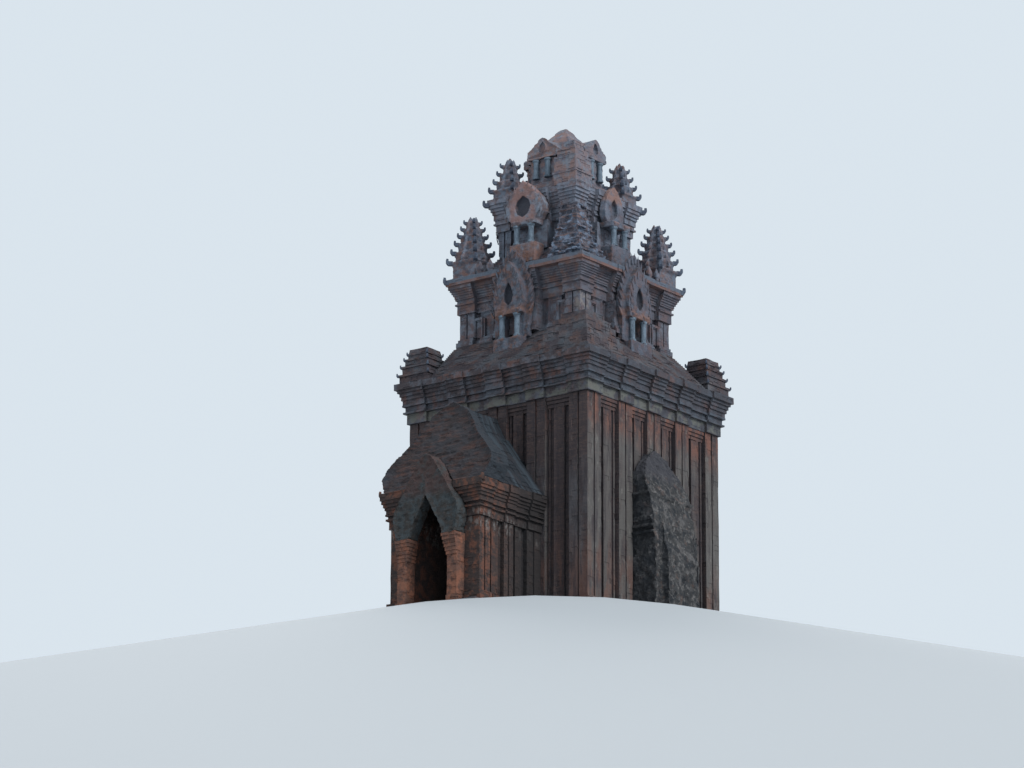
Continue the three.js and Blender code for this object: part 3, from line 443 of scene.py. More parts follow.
# Greys from near black to pale lichen, with hardly any red, so the false doors look like raw rock
door_brick = brick_finish(
    "fired brick, eroded", "3b3939", "303133", "25282c",
    Weather("414142", 0.80, 0.8, (0.40, 0.60)),
    Weather("5c5a5a", 0.75, 0.45, (0.48, 0.60), (1, 1, 0.8)),
    Weather("5c4841", 0.50, 0.50, (0.56, 0.66)),
    Weather("24282d", 0.80, 0.40, (0.50, 0.60), (1, 1, 0.8)),
    Weather("726f6d", 0.55, 0.22, (0.55, 0.65)),
    # Painted shade on the faces of the right door that stand out from the wall and don't look along x
    Weather("282b30", 0.60, 0.9, (0.20, 0.45), EVEN, (END_FACES, DOOR_FRONT)),
    Weather("3a3a40", 0.80, 0.8, (0.24, 0.46), EVEN, (DOOR_TOP,)))
print([m.name for m in (rubble_brick, door_brick)])

# %% [markdown]
# The porch is redder than the tower. Its pillars glow orange brown under a darker red-brown gable, its vault
# is slate grey with algae, and the entrance arch has gone grey green round the opening.

# %% Finishes of the porch
TOWARD_FRONT = ("y", -8.4, -10.6)
TOWARD_TOWER = ("y", -9.4, -7.2)
WALL_HEAD = (("z", 3.9, 4.5), ("z", 5.5, 4.9))
GABLE_SIDES = ("sideways", 0.35, 0.75)
ARCH_HEAD = ("z", 5.9, 6.7)
DOWN_THE_SLOPES = (0.12, 1.4, 0.12)

# Orange toward the front and nearly black toward the tower, so the porch darkens as it goes back
porch_brick = brick_finish(
    "fired brick, orange", "4d3e39", "3c3433", "25262a",
    Weather("764c3c", 0.65, 0.5, (0.44, 0.60), EVEN, (TOWARD_FRONT,)),
    Weather("7c7a78", 0.60, 0.25, (0.50, 0.60), (1, 1, 0.5), WALL_HEAD),
    Weather("2a2829", 0.85, 0.9, (0.26, 0.50), EVEN, (TOWARD_TOWER,)))
# Freshly spalled brick, the warmest colour on the building, so the pillars frame the dark entrance
pillar_brick = brick_finish(
    "fired brick, orange brown", "7a574a", "5f4840", "2c2626",
    Weather("94604a", 0.60, 0.5, (0.42, 0.60)),
    Weather("4a3a37", 0.60, 0.3, (0.50, 0.62)))
# Dark red beds under grey patches, with blue-black flanks
gable_brick = brick_finish(
    "fired brick, red brown", "423636", "343031", "26262a",
    Weather("5c4039", 0.55, 0.6, (0.46, 0.62), BEDDED),
    Weather("3a3b40", 0.70, 0.9, (0.42, 0.60)),
    Weather("2d343b", 0.90, 0.9, (0.20, 0.45), EVEN, (GABLE_SIDES,)))
# Algae run down with the rain, so the vault shows pale streaks down its slopes
vault_brick = brick_finish(
    "fired brick, slate grey with algae", "2b3138", "252a31", "1d2126",
    Weather("332f32", 0.50, 0.8, (0.48, 0.62)),
    Weather("404b54", 0.65, 0.5, (0.48, 0.60), DOWN_THE_SLOPES))
# Grey green below and browner at the head, so the arch parts from the orange pillars
arch_brick = brick_finish(
    "fired brick, grey green", "443f3d", "373534", "222324",
    Weather("3f474b", 0.75, 0.4, (0.42, 0.58)),
    Weather("4b3b39", 0.90, 0.5, (0.34, 0.56), EVEN, (ARCH_HEAD,)))
print([m.name for m in (porch_brick, pillar_brick, gable_brick, vault_brick, arch_brick)])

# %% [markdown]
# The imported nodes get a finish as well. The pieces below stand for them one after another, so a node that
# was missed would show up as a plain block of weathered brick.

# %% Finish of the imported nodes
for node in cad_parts.values():
    node.data.materials.clear()
    node.data.materials.append(storey_brick)
print(len(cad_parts), "packed nodes wear", storey_brick.name)

# %% [markdown]
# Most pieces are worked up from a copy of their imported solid, the way a mason dresses a rough block. These
# helpers select faces in code, by place or normal, and run Blender's own edit-mode tools on them.

# %% Selecting faces and copying solids
WELD_DISTANCE = 0.0002
FLAT_WITHIN = math.radians(1)
FACING = 0.9

bpy.context.preferences.edit.use_global_undo = False
bpy.context.tool_settings.mesh_select_mode = (False, False, True)


def choose(*objects):
    """Deselects everything, then selects these objects. The last one is the active one."""
    bpy.ops.object.select_all(action="DESELECT")
    for obj in objects:
        obj.select_set(True)
    bpy.context.view_layer.objects.active = objects[-1]


def on_faces(piece, test, *steps):
    """Picks the faces for which test(centres, normals, areas) holds, and runs edit-mode steps on them.
    Each step is an operator and its settings."""
    faces = piece.data.polygons
    centres = np.empty(len(faces) * 3)
    normals = np.empty(len(faces) * 3)
    areas = np.empty(len(faces))
    faces.foreach_get("center", centres)
    faces.foreach_get("normal", normals)
    faces.foreach_get("area", areas)
    picked = test(centres.reshape(-1, 3), normals.reshape(-1, 3), areas)
    choose(piece)
    bpy.ops.object.mode_set(mode="EDIT")
    bpy.ops.mesh.select_all(action="DESELECT")
    bpy.ops.object.mode_set(mode="OBJECT")
    faces.foreach_set("select", picked)
    bpy.ops.object.mode_set(mode="EDIT")
    for operator, settings in steps:
        operator(**settings)
    bpy.ops.object.mode_set(mode="OBJECT")


def everywhere(centres, normals, areas):
    """A test that every face passes."""
    return np.ones(len(areas), dtype=bool)


def copied(name, *nodes):
    """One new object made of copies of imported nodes, fused together, with each flat face made whole."""
    parts = []
    for node in nodes:
        part = bpy.data.objects.new(name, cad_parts[node].data.copy())
        bpy.context.scene.collection.objects.link(part)
        on_faces(part, everywhere, (bpy.ops.mesh.remove_doubles, {"threshold": WELD_DISTANCE}))
        parts.append(part)
    piece = parts[0]
    for other in parts[1:]:
        choose(piece)
        fuse = piece.modifiers.new("fuse", "BOOLEAN")
        fuse.operation = "UNION"
        fuse.solver = "EXACT"
        fuse.object = other
        bpy.ops.object.modifier_apply(modifier=fuse.name)
        bpy.data.objects.remove(other)
    on_faces(piece, everywhere, (bpy.ops.mesh.dissolve_limited, {"angle_limit": FLAT_WITHIN}))
    return piece


print("faces within", round(math.degrees(FLAT_WITHIN)), "degree of each other become one")

# %% [markdown]
# Old masonry weathers block by block. So a piece is first cut into courses and lengths, and then some of the
# blocks are sunk back. A layer of blocks is two, three or four courses of brick high. Each cut lies a hair
# off its round measure, so that none falls on an edge that the solid already has.

# %% Courses and sunk blocks
TWO_COURSES, THREE_COURSES, FOUR_COURSES = (round(n * BRICK_RISE, 3) for n in (2, 3, 4))
SHORT_BLOCK, BLOCK, LONG_BLOCK = 0.4, 0.5, 0.62
OFF_THE_EDGES = 0.0007
SMALLEST_BLOCK = 0.02
BLOCK_MARGIN = 0.012


def lay_courses(piece, rise, length):
    """Cuts a piece's faces into courses and lengths of masonry, so that they can weather one by one."""
    corners = np.array([v.co for v in piece.data.vertices])
    low, high = corners.min(axis=0), corners.max(axis=0)
    choose(piece)
    bpy.ops.object.mode_set(mode="EDIT")
    for axis, step in ((2, rise), (0, length), (1, length)):
        normal = [0.0, 0.0, 0.0]
        normal[axis] = 1.0
        for place in np.arange(math.ceil(low[axis] / step) * step, high[axis], step):
            bpy.ops.mesh.select_all(action="SELECT")
            bpy.ops.mesh.bisect(plane_co=[n * (place + OFF_THE_EDGES) for n in normal], plane_no=normal)
    bpy.ops.object.mode_set(mode="OBJECT")


def wear(piece, share, depth, seed, margin=BLOCK_MARGIN):
    """Sinks a share of the blocks into the wall, picked at random but always the same ones."""
    chance = np.random.default_rng(seed)

    def unlucky(centres, normals, areas):
        return (chance.random(len(areas)) < share) & (areas > SMALLEST_BLOCK)

    on_faces(piece, unlucky,
             (bpy.ops.mesh.inset, {"use_individual": True, "thickness": margin, "depth": -depth}))


print("layers of blocks:", TWO_COURSES, THREE_COURSES, FOUR_COURSES)

# %% [markdown]
# Last, the whole surface is pushed in and out by a cloudy pattern, two thirds of it inward, because brick
# wears away and doesn't grow. Carved and ruined pieces are fused into one even skin before that.

# %% Rough skins, and handing a piece over
MOSTLY_INWARD = 0.66


def roughen(piece, amount, size, flatten=1.0):
    """Pushes the surface in and out by a cloudy pattern. flatten squashes the pattern into level beds."""
    clouds = bpy.data.textures.new("clouds", "CLOUDS")
    clouds.noise_scale = size
    clouds.noise_depth = 3
    beds = bpy.data.objects.new("beds", None)
    bpy.context.scene.collection.objects.link(beds)
    beds.scale = (1, 1, flatten)
    bpy.context.view_layer.update()
    choose(piece)
    push = piece.modifiers.new("push", "DISPLACE")
    push.texture = clouds
    push.texture_coords = "OBJECT"
    push.texture_coords_object = beds
    push.strength = amount
    push.mid_level = MOSTLY_INWARD
    bpy.ops.object.modifier_apply(modifier=push.name)
    bpy.data.objects.remove(beds)


def remeshed(piece, size):
    """Fuses all of a piece's parts into one even skin of squares of the given size."""
    choose(piece)
    skin = piece.modifiers.new("skin", "REMESH")
    skin.mode = "VOXEL"
    skin.voxel_size = size
    bpy.ops.object.modifier_apply(modifier=skin.name)


def finished(piece, material, slot, *nodes):
    """Gives a piece its finish and its body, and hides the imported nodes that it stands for."""
    piece.data.materials.clear()
    piece.data.materials.append(material)
    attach(piece, "root")
    if nodes:
        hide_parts(*nodes)
    print(piece.name, sum(len(face.vertices) - 2 for face in piece.data.polygons), "triangles")


print("share of the roughness that goes inward:", MOSTLY_INWARD)

# %% [markdown]
# Ornaments are modelled once, at the origin, and each copy has its own mesh. Square forms and round ones
# both grow upward: the top face is extruded to the next height and resized, again and again.

# %% Building and copying helpers
def fresh_block(name, centre, size):
    """A block to start from, with its place and size in its mesh."""
    bpy.ops.object.select_all(action="DESELECT")
    bpy.ops.mesh.primitive_cube_add(size=1, location=centre, scale=size)
    piece = bpy.context.object
    piece.name = name
    bpy.ops.object.transform_apply(location=True, rotation=True, scale=True)
    return piece


def span_block(name, low, high):
    """A block between two corners."""
    return fresh_block(name, [(a + b) / 2 for a, b in zip(low, high)], [b - a for a, b in zip(low, high)])


def drawn_up(piece, centre, profile):
    """Draws a piece's top face up through the [half-width, height] steps that follow its first two."""
    steps = []
    for (last_half, last_z), (next_half, next_z) in zip(profile[1:], profile[2:]):
        ratio = next_half / last_half
        steps.append((bpy.ops.mesh.extrude_region_move,
                      {"TRANSFORM_OT_translate": {"value": (0, 0, next_z - last_z)}}))
        steps.append((bpy.ops.transform.resize,
                      {"value": (ratio, ratio, 1), "center_override": (*centre, next_z)}))
    on_faces(piece, lambda centres, normals, areas: normals[:, 2] > FACING, *steps)
    return piece


def stepped(name, centre, profile):
    """A square form that climbs through [half-width, height] steps."""
    (half, low), (_, high) = profile[:2]
    piece = fresh_block(name, (*centre, (low + high) / 2), (2 * half, 2 * half, high - low))
    return drawn_up(piece, centre, profile)


def placed(template, matrix):
    """A copy of a template with its own mesh, turned and moved by a matrix."""
    copy = bpy.data.objects.new(template.name, template.data.copy())
    copy.data.transform(matrix)
    bpy.context.scene.collection.objects.link(copy)
    return copy


def gathered(name, parts):
    """Joins parts into one object, which keeps the first one's place at the origin."""
    choose(*parts[1:], parts[0])
    bpy.ops.object.join()
    parts[0].name = name
    return parts[0]


def at(x, y, z, heading=0.0, size=1.0, height=1.0):
    """A place with a heading in degrees about the upright axis, a size and a stretch upward."""
    return (Matrix.Translation((x, y, z)) @ Matrix.Rotation(math.radians(heading), 4, "Z")
            @ Matrix.Diagonal((size, size, size * height, 1)))


def quarter_turn(quarters):
    """The turn that carries the front side, which looks along -Y, to another side."""
    return Matrix.Rotation(math.radians(90 * quarters), 4, "Z")


def on_other_sides(piece):
    """Copies of a piece of the front side, turned to the right, the back and the left."""
    return [placed(piece, quarter_turn(quarters)) for quarters in (1, 2, 3)]


SIDES = (("front", 0), ("right", 1), ("back", 2), ("left", 3))
print("sides:", [side for side, _ in SIDES])

# %% [markdown]
# The turrets and slabs end in blunt horns that curl outward and up. One horn starts as a small block whose
# outer face is extruded four times, smaller and more upturned each time. Leaves stand between the horns and
# flames ring the niches. The colonnettes are turned shafts with a square-edged foot and cap.

# %% Horn, leaf, flame, bracket and colonnette
HORN_ROOT_CENTRE = (0, 0, -0.02)
HORN_ROOT_SIZE = (0.24, 0.28, 0.26)
HORN_TURNS = ((0.05, 25), (0.07, 60), (0.10, 85), (0.10, 95))
HORN_TAPER = 0.84

# Profiles of (half-width, height) steps
LEAF = [(0.13, 0.0), (0.13, 0.2), (0.17, 0.2), (0.17, 0.32), (0.12, 0.48), (0.03, 0.7)]
FLAME = [(0.06, 0.0), (0.10, 0.14), (0.10, 0.30), (0.07, 0.45), (0.02, 0.62)]
BRACKET = [(0.16, 0.0), (0.16, 0.07), (0.20, 0.07), (0.20, 0.15), (0.24, 0.15), (0.24, 0.26)]
COLONNETTE = [(0.21, 0.0), (0.21, 0.09), (0.16, 0.12), (0.15, 0.16), (0.15, 0.84), (0.17, 0.88),
              (0.21, 0.92), (0.21, 1.0)]
COLONNETTE_SIDES = 14


def make_horn():
    """A block that stands at the origin and curls toward +X through lengths and slopes in degrees."""
    horn = fresh_block("horn", HORN_ROOT_CENTRE, HORN_ROOT_SIZE)
    place = Vector((HORN_ROOT_SIZE[0] / 2, 0, 0))
    last = 0
    steps = []
    for length, slope in HORN_TURNS:
        move = Vector((math.cos(math.radians(slope)), 0, math.sin(math.radians(slope)))) * length
        place = place + move
        steps.append((bpy.ops.mesh.extrude_region_move,
                      {"TRANSFORM_OT_translate": {"value": tuple(move)}}))
        steps.append((bpy.ops.transform.resize,
                      {"value": (HORN_TAPER,) * 3, "center_override": tuple(place)}))
        steps.append((bpy.ops.transform.rotate, {"value": math.radians(slope - last), "orient_axis": "Y",
                                                 "center_override": tuple(place)}))
        last = slope
    on_faces(horn, lambda centres, normals, areas: normals[:, 0] > FACING, *steps)
    return horn


def make_colonnette():
    """A round shaft 1 m high, which each place then stretches to its own height."""
    (radius, _), (_, high) = COLONNETTE[:2]
    bpy.ops.object.select_all(action="DESELECT")
    bpy.ops.mesh.primitive_cylinder_add(vertices=COLONNETTE_SIDES, radius=radius, depth=high,
                                        location=(0, 0, high / 2))
    shaft = bpy.context.object
    shaft.name = "colonnette"
    bpy.ops.object.transform_apply(location=True, rotation=True, scale=True)
    return drawn_up(shaft, (0, 0), COLONNETTE)


horn = make_horn()
leaf = stepped("leaf", (0, 0), LEAF)
flame = stepped("flame", (0, 0), FLAME)
bracket = stepped("bracket", (0, 0), BRACKET)
colonnette = make_colonnette()
tip = max(horn.data.polygons, key=lambda face: face.center.z)
print("horn tip", tuple(round(v, 2) for v in tip.center), "normal", tuple(round(v, 2) for v in tip.normal))

# %% [markdown]
# Pilasters and recesses repeat on the tower, its upper storeys and the porch. Three helpers make them: one
# tests for upright faces by how far out they lie, one cuts slots or raises strips, and one sinks panels.

# %% Slots, strips and panels
SLOT_WIDTH = 0.09
SLOT_DEPTH = 0.09
SLOT_MARGIN = 0.012
SAME_PLANE = 0.01
SQUARE_ON = 0.99


def upright_faces(axis, distance, low, high):
    """A test for upright faces that lie a given distance out along an axis, between two heights."""
    def test(centres, normals, areas):
        return ((np.abs(np.abs(centres[:, axis]) - distance) < SAME_PLANE)
                & (np.abs(normals[:, axis]) > SQUARE_ON)
                & (centres[:, 2] > low) & (centres[:, 2] < high))
    return test


def cut_slots(piece, axis, distance, low, high, places, width=SLOT_WIDTH, depth=SLOT_DEPTH):
    """Cuts narrow upright slots into the faces at a given distance out. A negative depth raises strips."""
    wanted = upright_faces(axis, distance, low, high)
    along = 1 - axis
    for middle in places:
        for side in (-width / 2, width / 2):
            place, normal = [0.0, 0.0, 0.0], [0.0, 0.0, 0.0]
            place[along] = middle + side
            normal[along] = 1.0
            on_faces(piece, wanted, (bpy.ops.mesh.bisect, {"plane_co": place, "plane_no": normal}))

    def slots(centres, normals, areas):
        off = np.min([np.abs(centres[:, along] - middle) for middle in places], axis=0)
        return wanted(centres, normals, areas) & (off < width / 4) & (areas < (high - low) * width * 1.1)

    on_faces(piece, slots, (bpy.ops.mesh.inset, {"thickness": SLOT_MARGIN, "depth": -depth}))


def frame_panels(piece, axis, distance, low, high, margin, depth):
    """Sinks each face at a given distance into a framed panel."""
    on_faces(piece, upright_faces(axis, distance, low, high),
             (bpy.ops.mesh.inset, {"use_individual": True, "thickness": margin, "depth": -depth}))


print("slots are", SLOT_WIDTH, "m wide and", SLOT_DEPTH, "m deep")

# %% [markdown]
# The six wall nodes are one mass of masonry on the real tower, so their copies are fused into one piece.
# Each pilaster is a pair of flat bands with a dark slot between them, each recess holds a frame within a
# frame, and thin strips stand in the channels beside the pilasters.

# %% Tower walls
WALL_NODES = ("wall_back", "wall_right", "wall_left", "wall_front_left", "wall_front_right",
              "wall_over_doorway")
BODY_FACE = 6.0
CHANNEL_FACE = 5.68
STRIP_FACE = 5.83
SHAFT_LOW, SHAFT_HIGH = 1.18, 12.24
PILASTER_CENTRES = (-5.39, -2.59, 0.0, 2.59, 5.39)
THIN_STRIPS = (0.74, 1.85, 3.33, 4.65)
STRIP_WIDTH = 0.16
STRIP_PROUD = 0.09

walls = copied("tower_walls", *WALL_NODES)
strips = [side * place for place in THIN_STRIPS for side in (-1, 1)]
for axis in (0, 1):
    cut_slots(walls, axis, BODY_FACE, SHAFT_LOW, SHAFT_HIGH, PILASTER_CENTRES)
    cut_slots(walls, axis, CHANNEL_FACE, SHAFT_LOW, SHAFT_HIGH, strips, width=STRIP_WIDTH,
              depth=-STRIP_PROUD)
    frame_panels(walls, axis, STRIP_FACE, SHAFT_LOW, SHAFT_HIGH, margin=0.15, depth=0.05)
lay_courses(walls, rise=FOUR_COURSES, length=LONG_BLOCK)
wear(walls, share=0.15, depth=0.02, seed=1)
print("tower walls have", len(walls.data.polygons), "faces")

# %% [markdown]
# At the top of each recess three courses step forward under the cornice. One side's corbels are modelled
# and then turned to the other three.

# %% Corbels over the recesses
CORBEL_COURSES = ((11.67, 5.80), (11.86, 5.86), (12.05, 5.92))
CORBEL_RISE = 0.19
CORBEL_SPANS = ((0.61, 1.98), (3.20, 4.78))
WALL_CORE = 5.60

corbels = []
for low, reach in CORBEL_COURSES:
    for start, end in CORBEL_SPANS:
        for a, b in ((start, end), (-end, -start)):
            corbels.append(span_block("corbel", (a, -reach, low), (b, -WALL_CORE, low + CORBEL_RISE)))
side_corbels = gathered("corbels", corbels)
walls = gathered("tower_walls", [walls, side_corbels] + on_other_sides(side_corbels))
roughen(walls, amount=0.05, size=0.9)
finished(walls, tower_brick, "brick", *WALL_NODES)

# %% [markdown]
# The plinth, the cornices, the first roof and the broken turrets are solid courses. Their copies are cut
# into lengths of masonry, some of which have broken back, and the long straight edges are pushed gently out
# of true.

# %% Plinth, cornices, first roof and broken turrets
def dressed(name, node, material, slot, length=BLOCK, share=0.2, depth=0.025, rough=0.05, seed=2):
    """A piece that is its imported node's own form, cut into courses, worn and roughened."""
    piece = copied(name, node)
    lay_courses(piece, TWO_COURSES, length)
    wear(piece, share, depth, seed)
    roughen(piece, rough, size=0.7)
    finished(piece, material, slot, node)


dressed("plinth_courses", "plinth", roof_brick, "dark_brick", rough=0.03)
for node, material, slot, seed in (("main_cornice", cornice_brick, "brick", 3),
                                   ("second_cornice", slab_brick, "brick", 4),
                                   ("third_cornice", slab_brick, "brick", 5),
                                   ("first_roof", roof_brick, "dark_brick", 6)):
    dressed(node + "_courses", node, material, slot, share=0.12, depth=0.02, seed=seed)
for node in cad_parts:
    if node.startswith("broken_turret"):
        finish = crown_brick if node.endswith("fourth") else roof_brick
        dressed(node + "_courses", node, finish, "dark_brick", length=SHORT_BLOCK, share=0.3, rough=0.08,
                seed=7)

# %% [markdown]
# The second storey has the same language as the walls below it: slotted pilasters at its corners and a
# small framed door shape beside each of them. A door has two frames, one inside the other, round a panel.

# %% Second storey
STOREY_LOW, STOREY_HIGH = 17.12, 18.55
STOREY_PILASTER_FACE = 4.1
STOREY_PILASTERS = (-3.6, 3.6)
STOREY_BAY_FACE = 3.95
STOREY_RECESS_FACE = 3.80
DOOR_MIDDLE = 2.84
DOOR_FRAMES = ((0.36, 4.02), (0.24, 4.08))
DOOR_BACK = 3.7
DOOR_FOOT = 17.1
JAMB_TOP, LINTEL_TOP = 18.2, 18.34
JAMB_HALF = 0.05
PANEL_HALF = 0.2
PANEL_FACE = 3.97
PANEL_TOP = 18.1

second = copied("second_storey_walls", "second_storey")
for axis in (0, 1):
    cut_slots(second, axis, STOREY_PILASTER_FACE, STOREY_LOW, STOREY_HIGH, STOREY_PILASTERS)
    frame_panels(second, axis, STOREY_BAY_FACE, STOREY_LOW, STOREY_HIGH, margin=0.10, depth=0.10)
    frame_panels(second, axis, STOREY_RECESS_FACE, STOREY_LOW, STOREY_HIGH, margin=0.07, depth=0.08)
lay_courses(second, rise=TWO_COURSES, length=BLOCK)
wear(second, share=0.2, depth=0.02, seed=8)

frames = []
for side in (-1, 1):
    middle = side * DOOR_MIDDLE
    for half, reach in DOOR_FRAMES:
        top = JAMB_TOP - half / 2
        for edge in (-1, 1):
            x = middle + edge * half
            frames.append(span_block("door frame", (x - JAMB_HALF, -reach, DOOR_FOOT),
                                     (x + JAMB_HALF, -DOOR_BACK, top)))
        frames.append(span_block("door frame", (middle - half - JAMB_HALF, -reach, top),
                                 (middle + half + JAMB_HALF, -DOOR_BACK, LINTEL_TOP - half / 2)))
    frames.append(span_block("door panel", (middle - PANEL_HALF, -PANEL_FACE, DOOR_FOOT),
                             (middle + PANEL_HALF, -DOOR_BACK, PANEL_TOP)))
side_frames = gathered("frames", frames)
second = gathered("second_storey_walls", [second, side_frames] + on_other_sides(side_frames))
roughen(second, amount=0.05, size=0.6)
finished(second, storey_brick, "brick", "second_storey")

# %% [markdown]
# The third storey is plainer: a slot in each pilaster and a panel in each bay, more worn than below.

# %% Third storey
THIRD_LOW, THIRD_HIGH = 21.8, 23.4
THIRD_PILASTER_FACE = 2.6
THIRD_PILASTERS = (-2.2, 2.2)
THIRD_BAY_FACE = 2.4

third = copied("third_storey_walls", "third_storey")
for axis in (0, 1):
    cut_slots(third, axis, THIRD_PILASTER_FACE, THIRD_LOW, THIRD_HIGH, THIRD_PILASTERS)
    frame_panels(third, axis, THIRD_BAY_FACE, THIRD_LOW, THIRD_HIGH, margin=0.10, depth=0.10)
lay_courses(third, rise=TWO_COURSES, length=SHORT_BLOCK)
wear(third, share=0.25, depth=0.025, seed=9)
roughen(third, amount=0.06, size=0.6)
finished(third, storey_brick, "brick", "third_storey")

# %% [markdown]
# Each turret is a stack of shrinking tiers. A tier has a neck, a flaring lip with a horn on each corner, and
# a leaf in the middle of each side. The tiers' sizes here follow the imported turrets. The tiers and leaves
# are fused into one skin, and the horns stay a piece of their own, because their crust is darker.

# %% Turrets
# Each tier is the half-width and top of its neck, then the half-width and top of its lip
SECOND_TURRET = {"centre": 3.62, "base": 0.80, "low": 20.54, "peak": 24.33, "tiers": (
    (0.79, 21.30, 0.93, 21.58), (0.69, 21.85, 0.78, 22.16), (0.58, 22.40, 0.66, 22.68),
    (0.48, 22.88, 0.55, 23.14), (0.38, 23.32, 0.44, 23.56), (0.28, 23.72, 0.33, 23.94))}
THIRD_TURRET = {"centre": 2.17, "base": 0.69, "low": 25.27, "peak": 27.93, "tiers": (
    (0.67, 25.62, 0.77, 25.84), (0.54, 26.08, 0.61, 26.36), (0.41, 26.60, 0.48, 26.86),
    (0.29, 27.08, 0.36, 27.34))}
TURRET_CORNERS = {"back_left": (-1, 1), "back_right": (1, 1), "front_left": (-1, -1)}
BASE_RISE = 0.12
LIP_RISE = 0.10
SPIRE_SHARE = 0.6
SPIRE_TIP_HALF, SPIRE_TIP_DROP = 0.03, 0.12
HORN_SET_BACK, LEAF_SET_BACK = 0.07, 0.12
ORNAMENT_SUNK = 0.05
# Horns and leaves are larger on wider lips: a least size, and a growth with the lip's half-width
HORN_LEAST, HORN_GROWTH = 0.42, 0.50
LEAF_LEAST, LEAF_GROWTH = 0.40, 0.40


def corner_horns(x, y, reach, z, size):
    """Horns on the four corners of a square, which reach a given distance from its middle."""
    horns = []
    out = reach * math.sqrt(2)
    for heading in (45, 135, 225, 315):
        corner = math.radians(heading)
        horns.append(placed(horn, at(x + out * math.cos(corner), y + out * math.sin(corner), z, heading,
                                     size)))
    return horns


def turret(name, sizes, x, y):
    """One turret's tiers with their leaves, and its horns as a second object."""
    profile = [(sizes["base"], sizes["low"]), (sizes["base"], sizes["low"] + BASE_RISE)]
    for neck, neck_z, lip, lip_z in sizes["tiers"]:
        profile += [(neck, profile[-1][1]), (neck, neck_z), (lip, lip_z - LIP_RISE), (lip, lip_z)]
    profile += [(profile[-1][0] * SPIRE_SHARE, profile[-1][1]),
                (SPIRE_TIP_HALF, sizes["peak"] - SPIRE_TIP_DROP)]
    parts = [stepped(name, (x, y), profile)]
    hooks = []
    for _, _, lip, lip_z in sizes["tiers"]:
        z = lip_z - ORNAMENT_SUNK
        hooks += corner_horns(x, y, lip - HORN_SET_BACK, z, HORN_LEAST + HORN_GROWTH * lip)
        out = lip - LEAF_SET_BACK
        for heading in (0, 90, 180, 270):
            side = math.radians(heading)
            parts.append(placed(leaf, at(x + out * math.cos(side), y + out * math.sin(side), z, heading,
                                         LEAF_LEAST + LEAF_GROWTH * lip)))
    piece = gathered(name, parts)
    remeshed(piece, size=0.045)
    roughen(piece, amount=0.05, size=0.25, flatten=0.5)
    return piece, gathered(name + "_horns", hooks)


for place, (sx, sy) in TURRET_CORNERS.items():
    for level, sizes in (("second", SECOND_TURRET), ("third", THIRD_TURRET)):
        node = level + "_turret_" + place
        piece, hooks = turret(node + "_carved", sizes, sx * sizes["centre"], sy * sizes["centre"])
        finished(piece, turret_brick, "dark_brick", node)
        finished(hooks, horn_brick, "dark_brick")

# %% [markdown]
# The same horns curl up from the corners of the slabs under the turrets and of the broken turrets' lips. A
# row of leaves stands on the slab's edge between the turrets and the niches. None is left near the corner
# that fell.

# %% Horns and leaves on the slabs
# Half-width, height and horn size of each slab
SLAB_HORNS = ((4.68, 20.40, 1.0), (3.18, 24.98, 0.9))
SLAB_HORN_SET_BACK = 0.12
LEAF_ROW = (-2.45, -1.75, 1.75, 2.45)
LEAF_REACH = 4.45
LEAF_STRETCH = (1.1, 0.8, 1.1, 1)
SLAB_TOP = 20.54
FALLEN_CORNER = 6.0
BROKEN_CENTRE = 5.44
# Half-width and height of each lip that is left
BROKEN_LIPS = ((1.08, 14.95), (0.95, 15.43), (0.82, 15.86), (0.70, 16.18))
BROKEN_HORN_SET_BACK = 0.08
BROKEN_HORN_SIZE = 0.5

parts = []
for half, z, size in SLAB_HORNS:
    out = half - SLAB_HORN_SET_BACK
    for sx, sy in TURRET_CORNERS.values():
        parts.append(placed(horn, at(sx * out, sy * out, z, math.degrees(math.atan2(sy, sx)), size)))
finished(gathered("slab_horns", parts), horn_brick, "dark_brick")

parts = []
for quarters in range(4):
    turn = quarter_turn(quarters)
    for x in LEAF_ROW:
        place = turn @ Vector((x, -LEAF_REACH, SLAB_TOP))
        if place.x - place.y < FALLEN_CORNER:
            stretch = Matrix.Diagonal(LEAF_STRETCH)
            parts.append(placed(leaf, Matrix.Translation(place) @ turn @ stretch))
slab_leaves = gathered("slab_leaves", parts)
remeshed(slab_leaves, size=0.05)
roughen(slab_leaves, amount=0.05, size=0.25)
finished(slab_leaves, turret_brick, "brick")

parts = []
for half, z in BROKEN_LIPS:
    for sx, sy in TURRET_CORNERS.values():
        parts += corner_horns(sx * BROKEN_CENTRE, sy * BROKEN_CENTRE, half - BROKEN_HORN_SET_BACK, z,
                              BROKEN_HORN_SIZE)
finished(gathered("broken_turret_horns", parts), horn_brick, "dark_brick")

# %% [markdown]
# The niches are small shrines in relief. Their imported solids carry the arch, the columns and the
# almond-shaped recess. Flames stand along the rim of the arch, in two rows on the second storey and in one
# on the third, where the right-hand niche has lost all of its own. Each pair of blue-grey colonnettes
# carries two brackets.

# %% Flames and colonnettes
LEAN_PER_METRE, MOST_LEAN = 26, 32
FLAME_STRETCH = 1.1
INNER_FLAME_SHARE = 0.8
ON_THE_MIDDLE = 0.05


def flame_places(outline, front, size):
    """Flames along one half of an arch and its mirror image, each leaning away from the middle."""
    for x, z in outline:
        for side in (-1, 1) if x > ON_THE_MIDDLE else (1,):
            lean = Matrix.Rotation(math.radians(side * min(MOST_LEAN, x * LEAN_PER_METRE)), 4, "Y")
            place = Matrix.Translation((side * x, front, z))
            yield place @ lean @ Matrix.Diagonal((size, size, size * FLAME_STRETCH, 1))


def colonnette_pair(shaft, turn):
    """Two colonnettes beside a niche. A shaft is how far aside and out it stands, its foot and its head."""
    aside, out, foot, head = shaft
    return [placed(colonnette, turn @ at(side * aside, out, foot, height=head - foot)) for side in (-1, 1)]


print("flames lean", LEAN_PER_METRE, "degrees for each metre aside")

